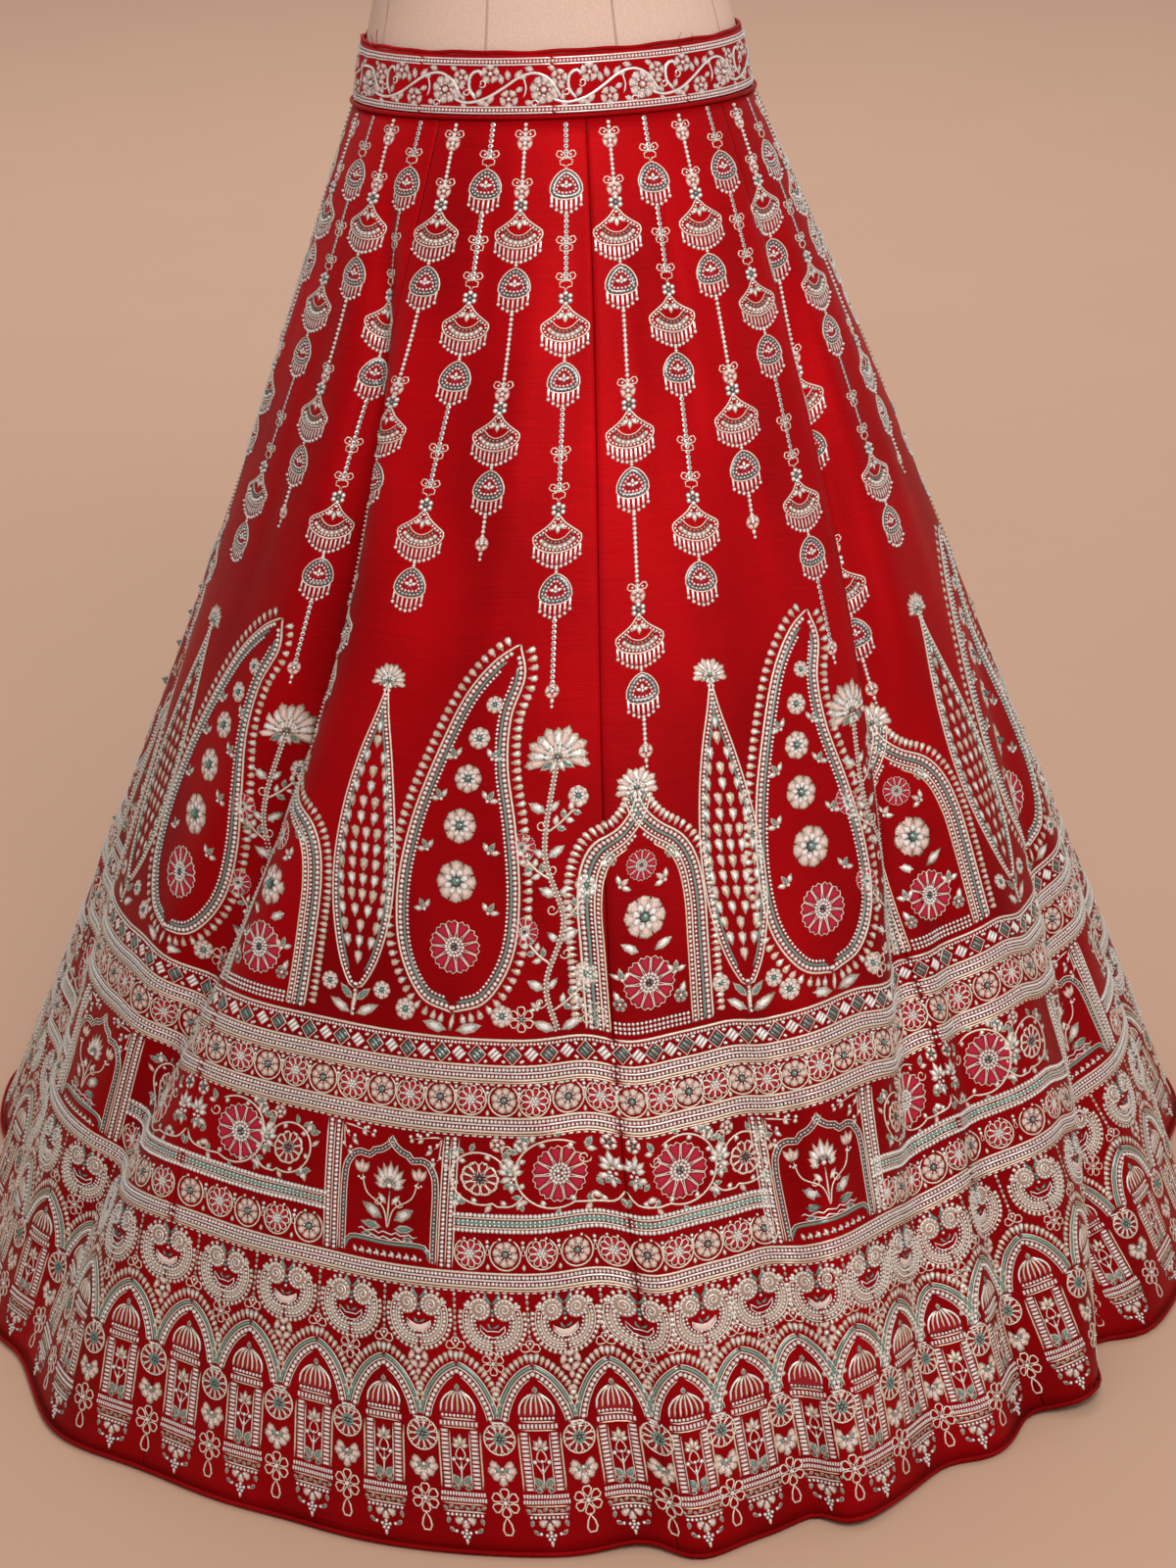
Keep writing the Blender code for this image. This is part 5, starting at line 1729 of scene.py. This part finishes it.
def build_waist_embroidery():
    piece = Piece("waistband_embroidery", on_band, band_width)
    edge_rows = (
        (-2.2, "cord", "silver", 1.5, 0.9),
        (0.0, "beads", "pearl", 1.3, 2.8),
        (2.2, "cord", "silver", 1.5, 0.9),
    )
    for fall in (WAIST_EDGE, BAND_HEIGHT - WAIST_EDGE):
        for row in rows(BAND_ROW_COLUMNS, edge_rows):
            at = fall + row["offset"] / 1000
            if row["form"] == "cord":
                lay_cord(piece, row, 0, 1, WAIST_STEPS, at)
            else:
                count = round(BAND_ROUND * 1000 / row["other"])
                piece.place(bead_motif(row["kind"], row["size"]), np.arange(count) / count * PANELS, at)
    turns = (np.arange(WAIST_REPEATS) + WAIST_START) / WAIST_REPEATS * PANELS
    piece.place(waist_vine_motif(), turns, BAND_HEIGHT / 2, loose=0.3)
    piece.build()


# ---- Cloth ----


def cloth_uv(thing, across, down):
    """A map of the cloth in metres, for the weave and for the silk's painted shade down the fall, from each
    point's place.
    """
    layer = thing.data.uv_layers.new(name="cloth")
    at = np.empty(len(thing.data.loops), np.int32)
    thing.data.loops.foreach_get("vertex_index", at)
    layer.data.foreach_set("uv", np.stack([across, down], axis=-1)[at].astype(np.float32).ravel())


def thicken(thing, thickness):
    wall = thing.modifiers.new("wall", "SOLIDIFY")
    wall.thickness = thickness
    wall.offset = -1


def build_panel_shells():
    faces = grid_faces(SHELL_ROWS + 1, len(SHARES))
    for k in range(PANELS):
        shell = mesh_object(f"cloth_panel_{k + 1}", CLOTH[k].reshape(-1, 3), faces, ["silk"])
        across = (SHARES[None, :] - 0.5) * WIDTHS[k][:, None] + k
        down = np.broadcast_to(FALLS[:, None], across.shape)
        cloth_uv(shell, across.ravel(), down.ravel())
        thicken(shell, CLOTH_WALL)
        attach(shell, "root")
        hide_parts(f"panel_{k + 1}")


def build_waistband_shell():
    levels = np.linspace(0, BAND_HEIGHT, 9)
    angles = np.radians(np.linspace(0, 360, BAND_SEGMENTS, endpoint=False))
    points = np.stack([band_point(angles, level) for level in levels])
    faces = grid_faces(len(levels), BAND_SEGMENTS, closed_round=True)
    shell = mesh_object("cloth_waistband", points.reshape(-1, 3), faces, ["silk"])
    across = np.broadcast_to(angles * BAND_ROUND / (2 * math.pi), points.shape[:2])
    down = np.broadcast_to(levels[:, None], points.shape[:2])
    cloth_uv(shell, across.ravel(), down.ravel())
    thicken(shell, BAND_WALL * 0.8)
    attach(shell, "root")
    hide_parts("waistband")


HEM_PIPING_LIFT = 0.0032  # from the cloth's edge to the middle of the hem's piping


def build_pipings():
    angles = np.radians(np.linspace(0, 360, BAND_SEGMENTS, endpoint=False))
    thin = WAIST_PIPING_RADIUS * 0.62
    top = band_point(angles, 0.0, BAND_WALL / 2) + (0, 0, thin)
    top[:, 2] += 0.0004 * np.sin(11 * angles) + 0.0003 * np.sin(23 * angles + 1)
    bottom = band_point(angles, BAND_HEIGHT, -WAIST_PIPING_RADIUS + SEAM_GAP)
    hem = CLOTH[:, -1, :-1].reshape(-1, 3) + CLOTH_NORMALS[:, -1, :-1].reshape(-1, 3) * 0.0008
    hem = hem + (0, 0, HEM_PIPING_LIFT)
    # shaded_as is the fall whose painted shade of the silk each piping takes, through its cloth map.
    for name, node, centres, radius, shaded_as in (
        ("waist_top_piping", "piping_waist_top", top, thin, 0.50),
        ("waist_bottom_piping", "piping_waist_bottom", bottom, thin, 0.52),
        ("hem_piping", "piping_hem", hem, HEM_PIPING_RADIUS * 0.7, CLOTH_FALL),
    ):
        piping = tube(name, centres, radius, "silk")
        cloth_uv(piping, piping_turns(piping), shaded_as + 0.01 * np.sin(piping_turns(piping) * 40))
        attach(piping, "root")
        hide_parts(node)


# Loose threads at the waistband's top: the angle, and in mm the length and the lean.
LOOSE_THREAD_COLUMNS = ("angle_deg", "length", "lean")
LOOSE_THREADS = ((-72, 13, 5), (-66, 9, -3), (-64, 15, 6), (-78, 7, -4), (40, 8, 3), (46, 6, -2))


def build_loose_threads():
    """A few ends of thread that stand up from the waistband's top."""
    points, faces = [], []
    share = np.linspace(0, 1, 7)
    corner = np.radians(np.arange(4) * 90)
    for k, thread in enumerate(rows(LOOSE_THREAD_COLUMNS, LOOSE_THREADS)):
        angle = math.radians(thread["angle_deg"])
        root = band_point(np.array(angle), 0.0)
        out = np.array([math.sin(angle), -math.cos(angle), 0.0])
        along = np.array([math.cos(angle), math.sin(angle), 0.0])
        lean = thread["lean"] / 1000 * share**2
        path = root + out * (0.0012 * share[:, None]) + along * lean[:, None]
        path = path + np.array([0, 0, 1.0]) * (share[:, None] * thread["length"] / 1000)
        ring = 0.0003 * (np.cos(corner)[:, None] * out + np.sin(corner)[:, None] * along)
        points.append((path[:, None, :] + ring[None]).reshape(-1, 3))
        faces.append(grid_faces(len(share), 4, closed_round=True) + k * len(share) * 4)
    threads = mesh_object("loose_threads", np.vstack(points), np.vstack(faces), ["silk"])
    # A fall of 0.5 m in the cloth map gives these threads the silk's painted shade at that fall.
    height = np.full(len(threads.data.vertices), 0.5)
    cloth_uv(threads, height, height)
    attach(threads, "root")


def vertex_places(thing):
    places = np.empty(len(thing.data.vertices) * 3, np.float32)
    thing.data.vertices.foreach_get("co", places)
    return places.reshape(-1, 3)


def piping_turns(thing):
    places = vertex_places(thing)
    return np.arctan2(places[:, 0], -places[:, 1]) * np.hypot(places[:, 0], places[:, 1])


# ---- Dress form ----

# Height, half width, half depth, how far forward the middle is, and how much of the
# waist's tilt the section has.
FORM_SECTIONS = (
    (0.765, 0.1280, 0.0960, -0.004, 0.0),
    (0.775, 0.1500, 0.1120, -0.004, 0.0),
    (0.800, 0.1680, 0.1240, -0.004, 0.0),
    (0.850, 0.1720, 0.1270, -0.003, 0.0),
    (0.900, 0.1640, 0.1210, -0.001, 0.0),
    (0.951, 0.1518, 0.1114, 0.000, 1.0),
    (0.978, 0.1472, 0.1080, 0.000, 1.0),
    (1.003, 0.1418, 0.1036, 0.000, 1.0),
    (1.035, 0.1345, 0.0990, 0.000, 0.5),
    (1.080, 0.1290, 0.0950, 0.000, 0.0),
    (1.130, 0.1330, 0.0980, 0.002, 0.0),
    (1.190, 0.1430, 0.1050, 0.006, 0.0),
    (1.250, 0.1520, 0.1120, 0.010, 0.0),
    (1.310, 0.1580, 0.1060, 0.008, 0.0),
    (1.360, 0.1640, 0.0920, 0.000, 0.0),
    (1.395, 0.1560, 0.0800, -0.006, 0.0),
    (1.420, 0.1250, 0.0690, -0.010, 0.0),
    (1.440, 0.0820, 0.0590, -0.012, 0.0),
    (1.462, 0.0600, 0.0540, -0.012, 0.0),
    (1.505, 0.0560, 0.0520, -0.012, 0.0),
)
FORM_SEGMENTS = 72
FORM_STEPS = 4  # rings from one section to the next
FORM_SEAM_DEG = (-64, -20, 20, 64, 116, 160, 200, 244)
FORM_SEAM_TURN = 0.008  # half a seam's width, in radians round the form
FORM_SEAM_RISE = 0.0006


def form_ring(section, angles):
    """Points round one section of the form: height, half width and depth, forward, tilt."""
    height, half_width, half_depth, forward, tilt = section
    x = half_width * np.sin(angles)
    y = -half_depth * np.cos(angles) - forward
    return np.stack([x, y, height - WAIST_TILT * y * tilt], axis=-1)


def build_form():
    table = np.array(FORM_SECTIONS)
    ends = np.vstack([table[:1], table, table[-1:]])
    sections = []
    for four in zip(ends, ends[1:], ends[2:], ends[3:]):
        sections += [spline(*four, t) for t in np.arange(FORM_STEPS) / FORM_STEPS]
    sections = np.vstack([sections, table[-1:]])[::-1]
    angles = np.radians(np.linspace(0, 360, FORM_SEGMENTS, endpoint=False))
    points = np.stack([form_ring(section, angles) for section in sections])
    faces = grid_faces(len(sections), FORM_SEGMENTS, closed_round=True)
    torso = mesh_object("form_torso", points.reshape(-1, 3), faces, ["form"])
    cap_form(torso, len(sections))
    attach(torso, "root")
    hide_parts("dress_form_torso")
    seams = [form_seam(sections, math.radians(a)) for a in FORM_SEAM_DEG]
    points = np.vstack([p for p, f in seams])
    faces = np.vstack([f + k * len(seams[0][0]) for k, (p, f) in enumerate(seams)])
    lines = mesh_object("form_seams", points, faces, ["form_seam"])
    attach(lines, "root")


def cap_form(torso, ring_count):
    """Closes each of the form's two ends with one many-sided face."""
    work = bmesh.new()
    work.from_mesh(torso.data)
    work.verts.ensure_lookup_table()
    last = (ring_count - 1) * FORM_SEGMENTS
    top = [work.verts[k] for k in range(FORM_SEGMENTS)]
    bottom = [work.verts[last + k] for k in range(FORM_SEGMENTS)]
    work.faces.new(top)
    work.faces.new(bottom[::-1])
    work.to_mesh(torso.data)
    work.free()


def form_seam(sections, angle):
    """A line of stitching down the form.

    Its middle moves away from the line's own average place, so it is raised where the
    form is wide and sunk where the form is narrow.
    """
    angles = angle + FORM_SEAM_TURN * np.array([-1, 0, 1])
    rings = np.stack([form_ring(section, angles) for section in sections])
    middle = rings.mean(axis=(0, 1))
    outward = unit((rings[:, 1] - middle) * (1, 1, 0))
    rings[:, 1] += outward * FORM_SEAM_RISE
    return rings.reshape(-1, 3), grid_faces(len(sections), 3)


# ---- Stage, lights and camera ----

CAMERA_PLACE = (0.006, -2.4, 1.443)
CAMERA_PITCH = 0.4222  # downwards, in radians
CAMERA_ROLL = -0.0389
CAMERA_LENS = 70.715
SENSOR = 36.0
FLOOR_HALF = 9.0


def build_stage():
    half = FLOOR_HALF
    corners = np.array([(-half, -half, 0), (half, -half, 0), (half, half, 0), (-half, half, 0)], float)
    floor = mesh_object("studio_floor", corners, np.array([[0, 1, 2, 3]]), ["floor"], smooth=False)


def area_light(name, place, target, size, power):
    data = bpy.data.lights.new(name, "AREA")
    data.energy = power
    data.size = size
    light = bpy.data.objects.new(name, data)
    light.location = place
    aim = Vector(target) - Vector(place)
    light.rotation_euler = aim.to_track_quat("-Z", "Y").to_euler()
    bpy.context.scene.collection.objects.link(light)


def build_lights():
    bpy.context.scene.view_settings.view_transform = "Standard"
    area_light("key", (0.45, -1.9, 2.4), (0, -0.05, 0.9), 0.9, 34)
    area_light("fill", (1.9, -3.2, 1.9), (0, 0, 0.9), 2.0, 12)
    area_light("overhead", (-0.2, 3.6, 4.2), (-0.2, 4.7, 0), 5.0, 132)
    world = bpy.data.worlds.new("studio")
    world.use_nodes = True
    background = world.node_tree.nodes["Background"]
    background.inputs["Color"].default_value = (1.0, 0.97, 0.95, 1)
    background.inputs["Strength"].default_value = 0.42
    bpy.context.scene.world = world


def build_camera():
    ahead = Vector((0, math.cos(CAMERA_PITCH), -math.sin(CAMERA_PITCH)))
    right = Vector((1, 0, 0))
    above = right.cross(ahead)
    cos, sin = math.cos(CAMERA_ROLL), math.sin(CAMERA_ROLL)
    axis_x = cos * right + sin * above
    axis_y = -sin * right + cos * above
    data = bpy.data.cameras.new("camera")
    data.sensor_width = SENSOR
    data.lens = CAMERA_LENS
    camera = bpy.data.objects.new("camera", data)
    camera.matrix_world = Matrix(
        [(axis_x[k], axis_y[k], -ahead[k], CAMERA_PLACE[k]) for k in range(3)] + [(0, 0, 0, 1)]
    )
    bpy.context.scene.collection.objects.link(camera)
    bpy.context.scene.camera = camera


def finish_cad_nodes():
    """Materials for the solids that have no shell: the neck's cap and knob, and the stand."""
    for name in ("neck_cap", "neck_knob", "stand_collar", "stand_pole", "stand_boss", "stand_base"):
        material = MATERIALS["wood" if name.startswith("neck") else "metal"]
        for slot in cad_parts[name].material_slots:
            slot.material = material


build_camera()
make_materials()
build_panel_shells()
build_waistband_shell()
build_pipings()
build_loose_threads()
build_form()
finish_cad_nodes()
build_strings()
build_bands()
build_border_flowers()
build_niches()
build_hem_border()
build_garden()
build_waist_embroidery()
build_stage()
build_lights()
